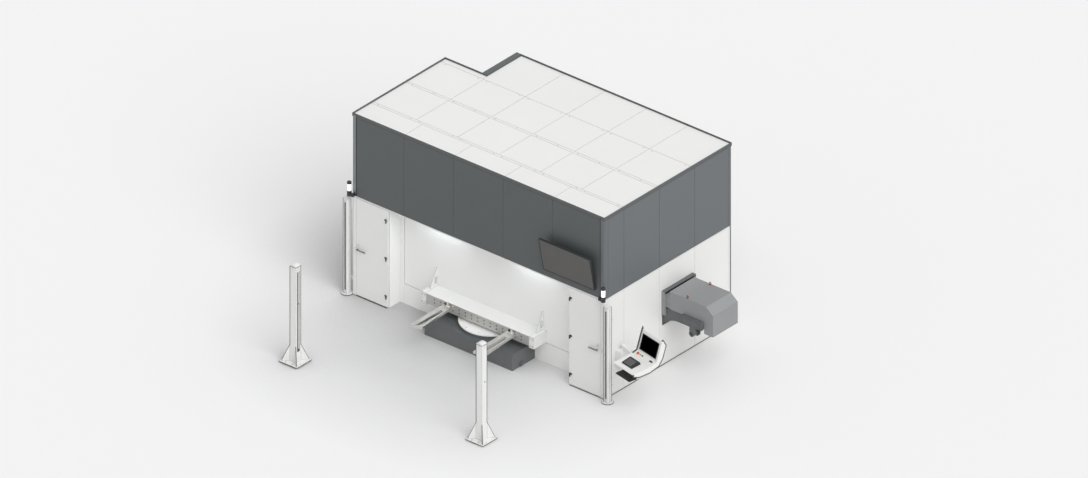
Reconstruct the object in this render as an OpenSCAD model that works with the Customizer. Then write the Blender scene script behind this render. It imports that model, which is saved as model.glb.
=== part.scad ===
// Five-axis laser cutting cell with a two-station rotary table.
// Millimetres, +Z up. The origin lies on the floor under the table's axis.
// +X runs to the right along the front, +Y runs to the back.

/* [Cabin] */
// Overall width of the cabin
cabin_w = 6100; // [6000:10:6300]
// Overall depth of the cabin
cabin_d = 3670; // [3600:10:3900]
// Height to the top of the roof rim
cabin_h = 3880; // [3840:10:4000]
// Height of the lower edge of the dark upper band
band_z = 2115; // [2100:5:2150]
// Distance of the table axis behind the front plane
axis_back = 380; // [370:5:400]
// Width of the re-entrant corner at the back left
notch_w = 900; // [820:10:950]
// Depth of the re-entrant corner at the back left
notch_d = 990; // [900:10:1020]
// Side of the corner posts
post_w = 100; // [90:5:110]
// Rounding of the outer edge of a corner post
post_r = 40; // [20:5:45]
// Depth of a folded wall panel
panel_t = 40; // [30:5:50]
// Sheet thickness of the folded panels
sheet_t = 3; // [2:0.5:5]
// Gap between neighbouring panels
seam = 8; // [4:1:12]
// Gap between the wall panels and the floor
floor_gap = 15; // [5:5:30]
// Distance from the front plane to the first seam of the side walls
side_first = 560; // [500:10:600]
// Distance between the further seams of the side walls
side_pitch = 1020; // [980:10:1040]
// Distance between the seams of the front band
fascia_pitch = 1200; // [1150:10:1220]
// Height of the frame rails behind the panels
rail_h = 100; // [80:5:120]

/* [Roof] */
// Height of the rim above the roof panels
rim_up = 30; // [15:5:50]
// Width of the rim at the sides and the back
rim_side = 14; // [10:1:20]
// Width of the rim at the front
rim_front = 14; // [10:1:20]
// Width of the broad rim beside the re-entrant corner
rim_notch = 120; // [100:5:140]
// Distance from the front plane to the first seam of the roof
roof_first = 565; // [520:5:600]
// Distance between the further seams of the roof
roof_pitch = 990; // [960:5:1000]
// Distance between the cross seams of the roof
roof_cross = 1000; // [980:5:1010]
// Width of the cover strips over the first two roof seams
strip_w = 60; // [40:5:80]
// Height of the beams under the roof seams
purlin_h = 60; // [40:5:70]

/* [Loading bay] */
// Clear width between the two door cabinets
bay_w = 4380; // [4340:10:4400]
// Thickness of the bay's side walls
bay_wall_t = 40; // [30:5:50]
// Width of the jambs beside the turning partition
jamb_w = 110; // [100:5:120]
// Height of the sill under the turning partition
sill_h = 420; // [400:5:440]
// Thickness of the soffit over the bay
soffit_t = 20; // [15:5:25]
// Length of a bay light
light_l = 900; // [600:10:1200]
// Distance of a bay light from the middle
bay_light_x = 1100; // [900:10:1300]

/* [Doors] */
// Thickness of a cabinet door
door_t = 40; // [35:1:45]
// Gap round a cabinet door
door_gap = 4; // [3:1:6]
// Gap under a cabinet door
door_lift = 25; // [20:5:40]
// Radius of a hinge knuckle
knuckle_r = 14; // [12:1:16]
// Height of a whole hinge
knuckle_h = 72; // [60:2:84]
// Radius of a hinge pin
pin_r = 5; // [4:0.5:6]
// Radial clearance of a pin in its knuckle
pin_fit = 0.1; // [0.05:0.05:0.1]
// Height of the door levers
lever_z = 1020; // [950:10:1100]
// Length of a door lever
lever_l = 190; // [150:5:220]

/* [Rotary table] */
// Width of the table base
base_w = 2130; // [2000:10:2200]
// Depth of the table base
base_d = 1340; // [1300:10:1400]
// Height of the table base
base_h = 345; // [330:5:360]
// Radius of the turning disc
disc_r = 620; // [590:5:640]
// Thickness of the turning disc
disc_t = 25; // [20:1:30]
// Gap between the turning disc and the sill
disc_gap = 15; // [8:1:20]
// Thickness of the turning partition
wall_t = 60; // [50:2:64]
// Gap between the partition's ends and the jambs
swing_gap = 10; // [6:1:12]
// Gap between the partition and the sill
lift_gap = 10; // [6:1:14]
// Thickness of a partition skin
skin_t = 3; // [2:0.5:4]
// Half length of a fixture beam
beam_half = 1240; // [1180:10:1260]
// Height of the underside of a fixture beam
beam_low = 480; // [475:1:490]
// Height of a fixture beam
beam_tall = 220; // [215:1:230]
// Reach of a fixture beam from the table axis
beam_reach = 402; // [390:1:420]
// Wall thickness of a fixture beam
beam_t = 12; // [8:1:14]
// Width of the brackets at the beam's ends
end_w = 120; // [100:5:130]
// Height of the top of a bracket's gusset
gusset_top = 1085; // [1000:5:1150]
// Distance between the fixture holes along the beam
hole_pitch = 150; // [140:5:155]
// Distance between the two rows of fixture holes
hole_rows = 70; // [60:5:80]
// Radius of a fixture hole
hole_r = 15; // [10:0.5:18]
// Half the distance between the two arms of a station
arm_x = 770; // [700:5:800]
// Shift of the two arms along the beam
arm_shift = 130; // [100:5:150]
// Length of a fixture arm
arm_l = 1049; // [950:1:1080]
// Width of a fixture arm near its tip
arm_w = 250; // [235:1:260]
// Width of a fixture arm at its root
arm_neck = 200; // [195:1:220]
// Width of the long side of an arm, beside its slot
arm_rail = 105; // [90:1:110]
// Width of the slot in an arm
arm_slot = 70; // [50:1:75]
// Height of a fixture arm
arm_h = 50; // [40:2:56]

/* [Gantry] */
// Width and depth of a portal column
column_w = 100; // [90:2:104]
// Width of a longitudinal beam
track_w = 200; // [180:5:210]
// Height of a longitudinal beam
track_h = 400; // [380:5:420]
// Width of the bridge
bridge_w = 300; // [280:5:320]
// Height of the bridge
bridge_h = 360; // [340:5:380]
// Width of a linear rail
guide_w = 34; // [28:1:40]
// Height of a linear rail
guide_h = 30; // [26:1:34]
// Running gap between a rail and its blocks
guide_gap = 0.5; // [0.4:0.1:1]
// Side of the vertical ram
ram_w = 180; // [160:5:190]
// Rest place of the cross carriage behind the table axis
carriage_y = 1000; // [900:10:1200]
// Rest place of the bridge along the cabin
bridge_x = 0; // [-100:10:100]
// Length of the cutting nozzle below its tilting axis
nozzle_l = 120; // [110:1:130]

/* [Barrier posts] */
// Side of a corner light post
light_post_w = 110; // [100:2:120]
// Height of a corner light post
light_post_h = 2040; // [1950:10:2060]
// Gap between the cabin and a corner light post
light_post_gap = 45; // [40:1:60]
// Side of a mirror column
mirror_w = 155; // [140:5:165]
// Height of a mirror column
mirror_h = 2080; // [1950:10:2150]
// Distance of the mirror columns from the middle
mirror_x = 2250; // [2150:10:2400]
// Distance of the mirror columns in front of the table axis
mirror_y = 2970; // [2800:10:3200]
// Side of a mirror column's foot plate
foot_w = 440; // [420:5:460]
// Longer distance between the anchor holes of a column foot
foot_bolts = 360; // [350:5:365]
// Shorter distance between the anchor holes of a column foot
foot_bolts_in = 160; // [150:5:180]

/* [Signals and display] */
// Radius of a signal lamp
lamp_r = 40; // [35:1:42]
// Height of a lamp's lit part
lamp_h = 180; // [150:5:200]
// Width of the overhead display
display_w = 1240; // [1180:10:1260]
// Height of the overhead display
display_h = 724; // [690:2:740]
// Thickness of the overhead display
display_t = 42; // [36:1:46]
// Forward tilt of the overhead display
display_tilt = 11.3; // [10:0.1:13]
// Place of the display's middle along the front
display_x = 2230; // [2150:10:2260]
// Height of the display's lower edge
display_z = 2290; // [2270:5:2320]

/* [Console] */
// Height of the middle of the console screen
console_z = 1360; // [1340:5:1400]
// Place of the console's swivel along the width
console_x = 3909; // [3880:1:3960]
// Place of the console's swivel along the depth
console_y = -228; // [-250:1:-200]
// Turn of the console about its swivel
console_yaw = -12.3; // [-14:0.1:-10]
// Width of the console between its cheeks
console_w = 580; // [560:5:600]
// Thickness of a console cheek
cheek_t = 16; // [12:1:20]
// Width of the console screen
screen_w = 478; // [440:2:500]
// Height of the console screen
screen_h = 298; // [270:2:304]
// Lean of the console screen
screen_lean = 16.9; // [16.5:0.1:17.3]
// Width of the pull-out tray
tray_w = 420; // [400:5:430]
// Depth of the pull-out tray
tray_d = 235; // [230:5:250]
// Radius of the swivel pins
swivel_r = 20; // [16:1:24]

/* [Scrap conveyor] */
// Place of the conveyor's middle along the depth
chute_y = 1640; // [1630:1:1650]
// Width of the hood over the discharge head
hood_w = 715; // [690:5:725]
// Reach of the hood from the wall
hood_l = 1228; // [1200:2:1260]
// Height of the hood's top
hood_top = 1640; // [1620:5:1660]
// Height of the lower edge of the hood's mouth
hood_low = 1050; // [1040:1:1060]
// Width of the trough
trough_w = 675; // [650:5:680]
// Height of the trough's sides
trough_h = 240; // [230:2:244]
// Sheet thickness of the hood and the trough
chute_t = 5; // [4:0.5:6]
// Height of the trough's floor inside the cabin
trough_low = 50; // [40:5:60]
// Height of the trough's floor at the discharge head
trough_top = 1060; // [1055:1:1070]
// Slope of the rising stretch
trough_slope = 50; // [48:0.5:52]
// Radius of the conveyor's drive drum
drum_r = 52; // [48:0.5:54]
// Thickness of the conveyor belt
belt_t = 25; // [20:1:28]

/* [Hidden] */
$fn = 48;

paint_white = [0.86, 0.86, 0.85];
paint_grey = [0.40, 0.42, 0.43];
paint_base = [0.38, 0.40, 0.41];
paint_hood = [0.56, 0.57, 0.58];
steel = [0.66, 0.67, 0.68];
black = [0.08, 0.08, 0.09];
glass_dark = [0.16, 0.17, 0.18];

// Small gap that keeps butted bars of one group apart
butt = 0.4;

// Planes of the cabin
x_side = cabin_w / 2;
y_front = -axis_back;
y_back = cabin_d - axis_back;
x_notch = notch_w - x_side;
y_notch = y_back - notch_d;
roof_top = cabin_h - rim_up;
roof_under = roof_top - panel_t;
rail_d = post_w - panel_t;
purlin_low = roof_under - purlin_h;
purlin_half = 40;
soffit_z = band_z - soffit_t;

// Wall runs: outer corner, heading, and distances of the panel edges along it
rear_w = cabin_w - notch_w;
left_d = cabin_d - notch_d;
side_breaks = [post_w, side_first, side_first + side_pitch, side_first + 2 * side_pitch,
    cabin_d - post_w];
rear_breaks = [post_w, for (i = [2 : -1 : -1]) x_side - i * roof_cross, rear_w - post_w];
left_breaks = [post_w, left_d - side_first - side_pitch, left_d - side_first, left_d - post_w];
front_breaks = [post_w, for (i = [-1.5 : 1 : 1.5]) x_side + i * fascia_pitch, cabin_w - post_w];
FRONT_RUN = [-x_side, y_front, 0, front_breaks];
WALL_RUNS = [
    [x_side, y_front, 90, side_breaks],
    [x_side, y_back, 180, rear_breaks],
    [x_notch, y_back, 270, [post_w, notch_d]],
    [x_notch, y_notch, 180, [0, notch_w - post_w]],
    [-x_side, y_notch, 270, left_breaks]
];

// Corner posts: outer corner, and the direction of the post's body from it
POSTS = [
    [-x_side, y_front, 1, 1],
    [x_side, y_front, -1, 1],
    [x_side, y_back, -1, -1],
    [x_notch, y_back, 1, -1],
    [-x_side, y_notch, 1, -1]
];

// Loading bay and turning partition
bay_x = bay_w / 2;
jamb_x = bay_x - jamb_w;
wall_y = wall_t / 2;
wall_half = sqrt(pow(jamb_x - swing_gap, 2) - pow(wall_y, 2));
wall_low = sill_h + lift_gap;
wall_top = soffit_z - 25;
tube_t = wall_t - 2 * skin_t;

// Doors: the hinge axis stands just in front of the door's face
hinge_in = 30;
hinge_x = bay_x + hinge_in;
hinge_out = knuckle_r + 2;
hinge_y = y_front - hinge_out;
door_x0 = bay_x + door_gap;
door_x1 = x_side - post_w - door_gap;
door_top = soffit_z - 2 * door_gap;
hinge_leaf = 3;
corner_r = sqrt(pow(hinge_in - door_gap, 2) + pow(hinge_out + door_t, 2));
bay_wall_y = hinge_y + corner_r + hinge_leaf + 3;
HINGE_Z = [door_top * 0.113, door_top * 0.502, door_top * 0.89];
lever_x = door_x1 - 50;
spindle_r = 9;

// Rotary table
hub_r = disc_r - 120;
disc_z = wall_low - disc_t;
plinth_in = 15;
beam_top = beam_low + beam_tall;
plate_t = 12;
plate_y = beam_reach - 5;
plate_low = beam_low + 5;
plate_h = beam_top - beam_t - plate_low - butt;
hole_count = 2 * floor((beam_half - 60) / hole_pitch);
hole_z = plate_low + plate_h / 2;
end_low = beam_low - 25;
gusset_t = 20;
gusset_d = 210;
arm_z = beam_top - 80;
arm_flange_t = 12;
arm_root = plate_y + arm_flange_t;
arm_root_l = 262;

// Gantry
track_z = band_z + 10;
track_top = track_z + track_h;
tube_wall = 12;
rack_w = 25;
rack_in = 55;
front_track_y = wall_y + column_w / 2;
rear_track_y = y_back - post_w - 10 - track_w / 2;
track_x0 = x_notch + post_w + 10;
track_x1 = x_side - post_w - 10;
block_h = 54;
block_gap = 6;
bridge_z = track_top + block_gap + block_h;
bridge_y0 = front_track_y - track_w / 2 + 10;
bridge_y1 = rear_track_y + track_w / 2 - 10;
bridge_top = bridge_z + bridge_h;
side_x = bridge_x + bridge_w / 2;
carriage_w = 420;
carriage_t = 40;
plate_x = side_x + block_gap + block_h - 20;
ram_face = plate_x + carriage_t + block_gap + block_h - 20;
ram_x = ram_face + ram_w / 2;
ram_low = bridge_z - 155;
ram_top = purlin_low - 30;
ram_rail_y = ram_w * 0.3;
ram_rail_w = 24;
ram_rail_h = 24;
wrist_r = ram_w / 2 - 5;
wrist_top = ram_low - butt;
wrist_low = wrist_top - 78;
tilt_z = wrist_low - 85;
cheek_y = 52;

// Barrier posts
light_x = x_side + light_post_gap + light_post_w / 2;
light_y = y_front - 30;
foot_z = 20;
foot_t = 10;
column_z = foot_z + foot_t;
foot_bolt_r = 7;
level_r = 5.5;
level_in = foot_bolts_in / 2;
level_out = foot_bolts / 2;
mirror_r = 14;
rib_t = 8;
rib_h = 340;
window_w = 76;
window_z = 240;
glass_t = 8;
glass_w = mirror_w - 43;
hollow_z = column_z + 60;
hollow_h = mirror_h - 70 - hollow_z;

// Signals and display
lamp_x = x_side + 20;
lamp_y = y_front - 60;
lamp_z = band_z + 85;
stem_x = x_side - post_w + 15;
bezel = 12;
display_y = y_front - 8;

// Console: outline of the body in the plane across its width, from the screen's middle
screen_y = 100;
swivel_z0 = 1000;
CONSOLE_OUTLINE = [
    [63, 208], [80, 215], [136, 106], [60, -140], [-30, -270], [-240, -336],
    [-475, -345], [-595, -300], [-590, -280], [-165, -228], [-57, -187]
];
CHEEK_OUTLINE = [
    [58, 222], [86, 230], [152, 106], [74, -146], [-22, -284], [-238, -352],
    [-478, -361], [-612, -310], [-606, -266], [-170, -212], [-70, -178]
];
strip_a = [-57, -187];
strip_b = [-165, -228];
strip_tilt = atan2(strip_a[1] - strip_b[1], strip_a[0] - strip_b[0]);
strip_mid = (strip_a + strip_b) / 2;
desk_a = [-165, -228];
desk_b = [-590, -280];
desk_tilt = atan2(desk_a[1] - desk_b[1], desk_a[0] - desk_b[0]);
tray_z = console_z - 445;
tray_y = -640;
hanger_t = 6;
runner_z = tray_z - 10 - console_z;
estop_x = -200;
estop_r = 20;
stem_r = 10;
box_x1 = x_side + 150;
box_y0 = -60;
box_w = 290;
box_z0 = 550;
box_z1 = 910;
arm_pivot_x = x_side + 85;
arm_pivot_y = box_y0 + box_w / 2;
arm_low = 920;
arm_hub_r = 50;

// Scrap conveyor: course of the trough's floor, with a bend at each end of the rise
bend_x = x_side + 150;
rise_x = bend_x - (trough_top - trough_low) / tan(trough_slope);
tail_x = -700;
hood_x1 = x_side + hood_l;
head_x = hood_x1 - 376;
low_bend_r = 400;
top_bend_r = 500;
belt_low = 20;
belt_high = belt_low + 2 * (drum_r + 0.5 + belt_t);
drum_h = (belt_low + belt_high) / 2;
drum_z = trough_top + drum_h;
drum_x = head_x - 20;
journal_r = 20;
cleat_h = 25;
cleat_pitch = 300;
way_out_z = 850;
flange_t = 80;
flange_y0 = chute_y - 380;
flange_y1 = chute_y + 520;
flange_z0 = 1100;
flange_z1 = hood_top - 40;
neck_l = 100;
neck_top = flange_z1 - 50;
hood_x0 = x_side + flange_t + neck_l;
hood_skirt = hood_low + 220;
gear_x1 = hood_x1 - 216;
gear_x0 = gear_x1 - 510;
gear_low = hood_low + 85;
gear_top = hood_skirt + 35;
motor_x = gear_x1 - 240;
motor_z = trough_top - 70;
motor_r = 50;

// Points of an arc about c from angle a0 to a1
function arc(c, r, a0, a1, n) =
    [for (i = [0 : n]) [c[0] + r * cos(a0 + (a1 - a0) * i / n), c[1] + r * sin(a0 + (a1 - a0) * i / n)]];

// Course of a line at height h above the trough's floor, from the tail to the head
function course(h) = concat(
    [[tail_x, trough_low + h]],
    arc([rise_x - low_bend_r * tan(trough_slope / 2), trough_low + low_bend_r],
        low_bend_r - h, -90, trough_slope - 90, 6),
    arc([bend_x + top_bend_r * tan(trough_slope / 2), trough_top - top_bend_r],
        top_bend_r + h, 90 + trough_slope, 90, 6),
    [[head_x, trough_top + h]]
);

function reversed(list) = [for (i = [len(list) - 1 : -1 : 0]) list[i]];

// Both hands of a piece, mirrored about the middle plane
module pair() {
    children();
    mirror([1, 0, 0]) children();
}

// Both stations of the table, turned half way round
module stations() {
    children();
    rotate([0, 0, 180]) children();
}

// Flat outline in the plane of X and Z, given thickness along Y from y0
module along_y(y0, depth) {
    translate([0, y0 + depth, 0]) rotate([90, 0, 0]) linear_extrude(depth) children();
}

// Flat outline in the plane of Y and Z, given thickness along X from x0
module along_x(x0, width) {
    translate([x0, 0, 0]) rotate([90, 0, 90]) linear_extrude(width) children();
}

module box(x0, x1, y0, y1, z0, z1) {
    translate([x0, y0, z0]) cube([x1 - x0, y1 - y0, z1 - z0]);
}

// Square with all four corners rounded, centred
module rounded_square(w, d, r) {
    square([w - 2 * r, d], center = true);
    square([w, d - 2 * r], center = true);
    for (sx = [-1, 1]) {
        for (sy = [-1, 1]) {
            translate([sx * (w / 2 - r), sy * (d / 2 - r)]) circle(r);
        }
    }
}

// Folded panel: a face with four returned edges, open at the back
module tray(w, h) {
    difference() {
        cube([w, panel_t, h]);
        translate([sheet_t, sheet_t, sheet_t]) cube([w - 2 * sheet_t, panel_t, h - 2 * sheet_t]);
    }
}

module on_run(run) {
    translate([run[0], run[1], 0]) rotate([0, 0, run[2]]) children();
}

module run_panels(run, z0, z1) {
    edges = run[3];
    on_run(run) {
        for (i = [0 : len(edges) - 2]) {
            translate([edges[i] + seam / 2, 0, z0 + seam / 2]) {
                tray(edges[i + 1] - edges[i] - seam, z1 - z0 - seam);
            }
        }
    }
}

module run_rail(run, z0) {
    edges = run[3];
    on_run(run) translate([edges[0], panel_t, z0]) cube([edges[len(edges) - 1] - edges[0], rail_d, rail_h]);
}

module post_profile() {
    translate([post_r, 0]) square([post_w - post_r, post_w]);
    translate([0, post_r]) square([post_r, post_w - post_r]);
    translate([post_r, post_r]) circle(post_r);
}

module post_set(z0, z1) {
    for (p = POSTS) {
        translate([p[0], p[1], z0]) mirror([p[2] < 0 ? 1 : 0, 0, 0]) mirror([0, p[3] < 0 ? 1 : 0, 0]) {
            linear_extrude(z1 - z0) post_profile();
        }
    }
    box(x_notch, x_notch + post_w, y_notch - post_w, y_notch, z0, z1);
}

// Floor, middle and top rails of the walls, and the beams under the roof seams
module cabin_frame() {
    color(paint_white) {
        for (run = WALL_RUNS) {
            run_rail(run, 0);
            run_rail(run, band_z - rail_h / 2);
            run_rail(run, roof_under - rail_h);
        }
        run_rail(FRONT_RUN, band_z);
        run_rail(FRONT_RUN, roof_under - rail_h);
        difference() {
            for (i = [0 : 2]) {
                y = y_front + roof_first + i * roof_pitch;
                box(post_w + butt - x_side, x_side - post_w - butt, y - purlin_half, y + purlin_half,
                    purlin_low, roof_under);
            }
            box(x_notch - butt, x_notch + post_w + butt, y_notch - post_w - butt, y_notch + butt,
                purlin_low - 1, roof_under + 1);
        }
    }
}

// Lower posts, with the keepers for the bolts of the cabinet doors
module corner_posts() {
    color(paint_white) {
        post_set(0, band_z - seam / 2);
        pair() box(x_side - post_w + 6, x_side - post_w + 46, y_front - 24, y_front + 1,
            lever_z - 22, lever_z + 22);
    }
}

module upper_posts() {
    color(paint_grey) post_set(band_z - seam / 2, roof_under);
}

// Columns and the two longitudinal beams that carry the bridge
module portal_frame() {
    color(paint_grey) {
        pair() {
            translate([jamb_x + 5, wall_y, 0]) cube([column_w, column_w, track_z - butt]);
        }
        for (x = [track_x0, (track_x0 + track_x1) / 2, track_x1 - column_w]) {
            translate([x, rear_track_y - column_w / 2, 0]) cube([column_w, column_w, track_z - butt]);
        }
        for (y = [front_track_y, rear_track_y]) {
            along_x(track_x0, track_x1 - track_x0) translate([y, track_z + track_h / 2]) difference() {
                rounded_square(track_w, track_h, tube_wall);
                square([track_w - 2 * tube_wall, track_h - 2 * tube_wall], center = true);
            }
        }
    }
}

// Linear rails and gear racks along both beams
module axis_rails() {
    color(steel) {
        for (y = [front_track_y, rear_track_y]) {
            box(track_x0, track_x1, y - guide_w / 2, y + guide_w / 2, track_top, track_top + guide_h);
        }
        for (y = [front_track_y + rack_in, rear_track_y - rack_in - rack_w]) {
            box(track_x0, track_x1, y, y + rack_w, track_top, track_top + rack_w);
        }
    }
}

module fascia_panels() {
    color(paint_grey) run_panels(FRONT_RUN, band_z, roof_under);
}

module upper_panels() {
    color(paint_grey) {
        for (run = WALL_RUNS) run_panels(run, band_z, roof_under);
    }
}

// White lower walls, with the way through for the conveyor in the right wall
module lower_panels() {
    color(paint_white) difference() {
        for (run = WALL_RUNS) run_panels(run, floor_gap, band_z);
        box(x_side - panel_t - 1, x_side + 1, chute_y - trough_w / 2 - 20, chute_y + trough_w / 2 + 20,
            way_out_z, neck_top);
    }
}

module roof_tray(x0, x1, y0, y1) {
    translate([x0 + seam / 2, y0 + seam / 2, roof_top]) rotate([-90, 0, 0]) {
        tray(x1 - x0 - seam, y1 - y0 - seam);
    }
}

module roof_row(xs, y0, y1) {
    for (i = [0 : len(xs) - 2]) roof_tray(xs[i], xs[i + 1], y0, y1);
}

// Rows of white roof panels with cover strips over the first two seams
module roof_panels() {
    x0 = rim_side - x_side;
    x1 = x_side - rim_side;
    fascia_x = [x0, for (i = [-1.5 : 1 : 1.5]) i * fascia_pitch, x1];
    full_x = [x0, for (i = [-2 : 2]) i * roof_cross, x1];
    back_x = [x_notch + rim_notch, for (i = [-1 : 2]) i * roof_cross, x1];
    half = strip_w / 2;
    y1 = y_front + roof_first;
    y2 = y1 + roof_pitch;
    y3 = y2 + roof_pitch;
    color(paint_white) {
        roof_row(fascia_x, y_front + rim_front, y1 - half);
        roof_row(full_x, y1 + half, y2 - half);
        roof_row(full_x, y2 + half, y3);
        roof_row(back_x, y3, y_back - rim_side);
        roof_row([x0, x_notch + rim_notch], y3, y_notch - rim_side);
        for (y = [y1, y2]) {
            box(x0 + seam / 2, x1 - seam / 2, y - half + seam / 2, y + half - seam / 2,
                roof_under, roof_top);
        }
    }
}

// Grey upstand round the roof, in butted bars, broad beside the re-entrant corner
module roof_rim() {
    y_lip = y_notch - rim_side;
    color(paint_grey) {
        box(-x_side, x_side, y_front, y_front + rim_front, roof_under, cabin_h);
        box(x_side - rim_side, x_side, y_front + rim_front + butt, y_back, roof_under, cabin_h);
        box(x_notch, x_side - rim_side - butt, y_back - rim_side, y_back, roof_under, cabin_h);
        box(x_notch, x_notch + rim_notch, y_lip, y_back - rim_side - butt, roof_under, cabin_h);
        box(-x_side, x_notch - butt, y_lip, y_notch, roof_under, cabin_h);
        box(-x_side, rim_side - x_side, y_front + rim_front + butt, y_lip - butt, roof_under, cabin_h);
    }
}

// Side walls of the loading bay, folded into the jambs beside the partition
module bay_walls() {
    color(paint_white) pair() linear_extrude(soffit_z) polygon([
        [bay_x, bay_wall_y], [bay_x + bay_wall_t, bay_wall_y], [bay_x + bay_wall_t, wall_y],
        [jamb_x, wall_y], [jamb_x, -wall_y], [bay_x, -wall_y]
    ]);
}

// Fixed sill under the partition, stepped over the table base
module bay_sill() {
    base_x = base_w / 2 + 5;
    inner_x = disc_r + disc_gap;
    color(paint_white) pair() along_y(-wall_y, wall_t) polygon([
        [jamb_x - butt, 0], [jamb_x - butt, sill_h], [inner_x, sill_h], [inner_x, base_h],
        [base_x, base_h], [base_x, 0]
    ]);
}

// Soffit over the bay, with the lintel above the cabinet doors
module bay_soffit() {
    color(paint_white) {
        box(-bay_x, bay_x, y_front + 2, wall_y, soffit_z, band_z);
        pair() box(bay_x, x_side - post_w, y_front + 2, y_front + panel_t, soffit_z, band_z);
    }
}

module bay_lights() {
    color([0.97, 0.98, 1]) pair() {
        translate([bay_light_x - light_l / 2, y_front / 2 - 30, soffit_z - 12]) cube([light_l, 60, 12]);
    }
}

// Frame halves of the hinges, with their pins, and the keepers of the latches
module door_hardware() {
    color(black) pair() {
        for (z = HINGE_Z) {
            translate([0, 0, z - knuckle_h / 2]) {
                linear_extrude(knuckle_h / 2 - 0.5) {
                    translate([hinge_x, hinge_y]) circle(knuckle_r);
                    translate([bay_x, hinge_y - 3]) square([hinge_in, 6]);
                    translate([bay_x, hinge_y - 3]) square([hinge_leaf, bay_wall_y - hinge_y + 3]);
                    translate([bay_x, bay_wall_y - hinge_leaf]) square([bay_wall_t - 4, hinge_leaf]);
                }
                translate([hinge_x, hinge_y, 0]) cylinder(r = pin_r, h = knuckle_h - 2);
            }
        }
    }
}

module table_base() {
    color(paint_base) difference() {
        union() {
            linear_extrude(base_h) rounded_square(base_w, base_d, 12);
            cylinder(r = disc_r - plinth_in, h = disc_z - 5, $fn = 96);
        }
        translate([0, 0, disc_z - 85]) cylinder(r = hub_r + 40, h = 90, $fn = 96);
    }
}

// Fixed race of the slewing bearing
module slew_ring() {
    color(steel) translate([0, 0, disc_z - 85]) difference() {
        cylinder(r = hub_r + 39, h = 60, $fn = 96);
        translate([0, 0, -1]) cylinder(r = hub_r - 59, h = 62, $fn = 96);
    }
}

module lamp_housings() {
    color(black) pair() {
        translate([lamp_x, lamp_y, lamp_z - 75]) cylinder(r = lamp_r + 3, h = 75);
        box(stem_x, lamp_x, lamp_y - 25, lamp_y + 25, lamp_z - 70, lamp_z - 10);
        box(stem_x, stem_x + 40, lamp_y, y_front, lamp_z - 70, lamp_z - 10);
        translate([lamp_x, lamp_y, lamp_z + lamp_h]) {
            cylinder(r = lamp_r + 2, h = 40);
            translate([0, 0, 40]) cylinder(r1 = lamp_r + 2, r2 = lamp_r - 10, h = 10);
        }
    }
}

module lamp_lenses() {
    color([0.95, 0.96, 0.97]) pair() {
        translate([lamp_x, lamp_y, lamp_z]) cylinder(r = lamp_r, h = lamp_h);
    }
}

module at_display() {
    translate([display_x, display_y, display_z]) rotate([display_tilt, 0, 0]) children();
}

// Wedge arms between the front band and the display
module display_bracket() {
    foot = display_h * 0.166;
    reach = display_h * 0.86;
    back_y = display_y + 0.05;
    c = cos(display_tilt);
    s = sin(display_tilt);
    color(black) for (x = [-display_w * 0.266, display_w * 0.266]) {
        along_x(display_x + x - 20, 40) polygon([
            [y_front, display_z + foot * c], [y_front, display_z + reach * c],
            [back_y - reach * s, display_z + reach * c], [back_y - foot * s, display_z + foot * c]
        ]);
    }
}

module display_housing() {
    color(black) at_display() difference() {
        translate([-display_w / 2, -display_t, 0]) cube([display_w, display_t, display_h]);
        translate([bezel - display_w / 2, -display_t - 1, bezel]) {
            cube([display_w - 2 * bezel, 7, display_h - 2 * bezel]);
        }
    }
}

module display_screen() {
    rim = bezel + 0.5;
    color(glass_dark) at_display() translate([rim - display_w / 2, -display_t + 1, rim]) {
        cube([display_w - 2 * rim, 5, display_h - 2 * rim]);
    }
}

// Grooved corner posts of the light barrier, on round feet and clipped to the cabin
module light_posts() {
    half = light_post_w / 2;
    color(paint_white) pair() translate([light_x, light_y, 0]) {
        translate([0, 0, 15]) linear_extrude(light_post_h - 15) difference() {
            rounded_square(light_post_w, light_post_w, 10);
            translate([-20, -half - 1]) square([40, 15]);
            for (sx = [-1, 1]) translate([sx * half - 6, -6]) square([12, 12]);
        }
        cylinder(r = half + 60, h = 15);
        for (z = [300, light_post_h - 340]) {
            translate([x_side - light_x, half - 2, z]) cube([light_x - x_side + 20, 60, 40]);
        }
    }
}

// Hollow mirror columns with windows on two faces, welded to feet with a rib on each corner
module mirror_columns() {
    half = mirror_w / 2;
    rib_in = (half - mirror_r) * sqrt(2) + mirror_r - 1.2;
    rib_out = foot_w / 2 * sqrt(2) - 60;
    color(paint_white) pair() translate([mirror_x, -mirror_y, 0]) {
        difference() {
            translate([0, 0, column_z]) linear_extrude(mirror_h - column_z - 30) {
                rounded_square(mirror_w, mirror_w, mirror_r);
            }
            translate([0, 0, hollow_z]) linear_extrude(hollow_h) {
                square(mirror_w - 12, center = true);
            }
            translate([-half - 1, -window_w / 2, window_z]) cube([half, window_w, mirror_h - 380]);
            translate([-window_w / 2, 0, window_z]) cube([window_w, half + 1, mirror_h - 380]);
        }
        along_y(-half + 4, mirror_w - 8) intersection() {
            translate([4 - half, mirror_h - 30]) square([mirror_w - 8, 30]);
            translate([0, mirror_h - 130]) circle(130);
        }
        difference() {
            translate([0, 0, foot_z]) linear_extrude(foot_t) rounded_square(foot_w, foot_w, 30);
            for (sx = [-1, 1]) {
                for (sy = [-1, 1]) {
                    translate([sx * foot_bolts / 2, sy * foot_bolts_in / 2, 0]) {
                        cylinder(r = foot_bolt_r, h = 60);
                    }
                    translate([sx * level_in, sy * level_out, 0]) cylinder(r = level_r + 0.5, h = 60);
                }
            }
        }
        for (a = [45 : 90 : 315]) {
            rotate([0, 0, a]) along_y(-rib_t / 2, rib_t) polygon([
                [rib_in, column_z - 1], [rib_out, column_z - 1], [rib_out, column_z + 20],
                [rib_in, column_z + rib_h]
            ]);
        }
    }
}

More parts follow.
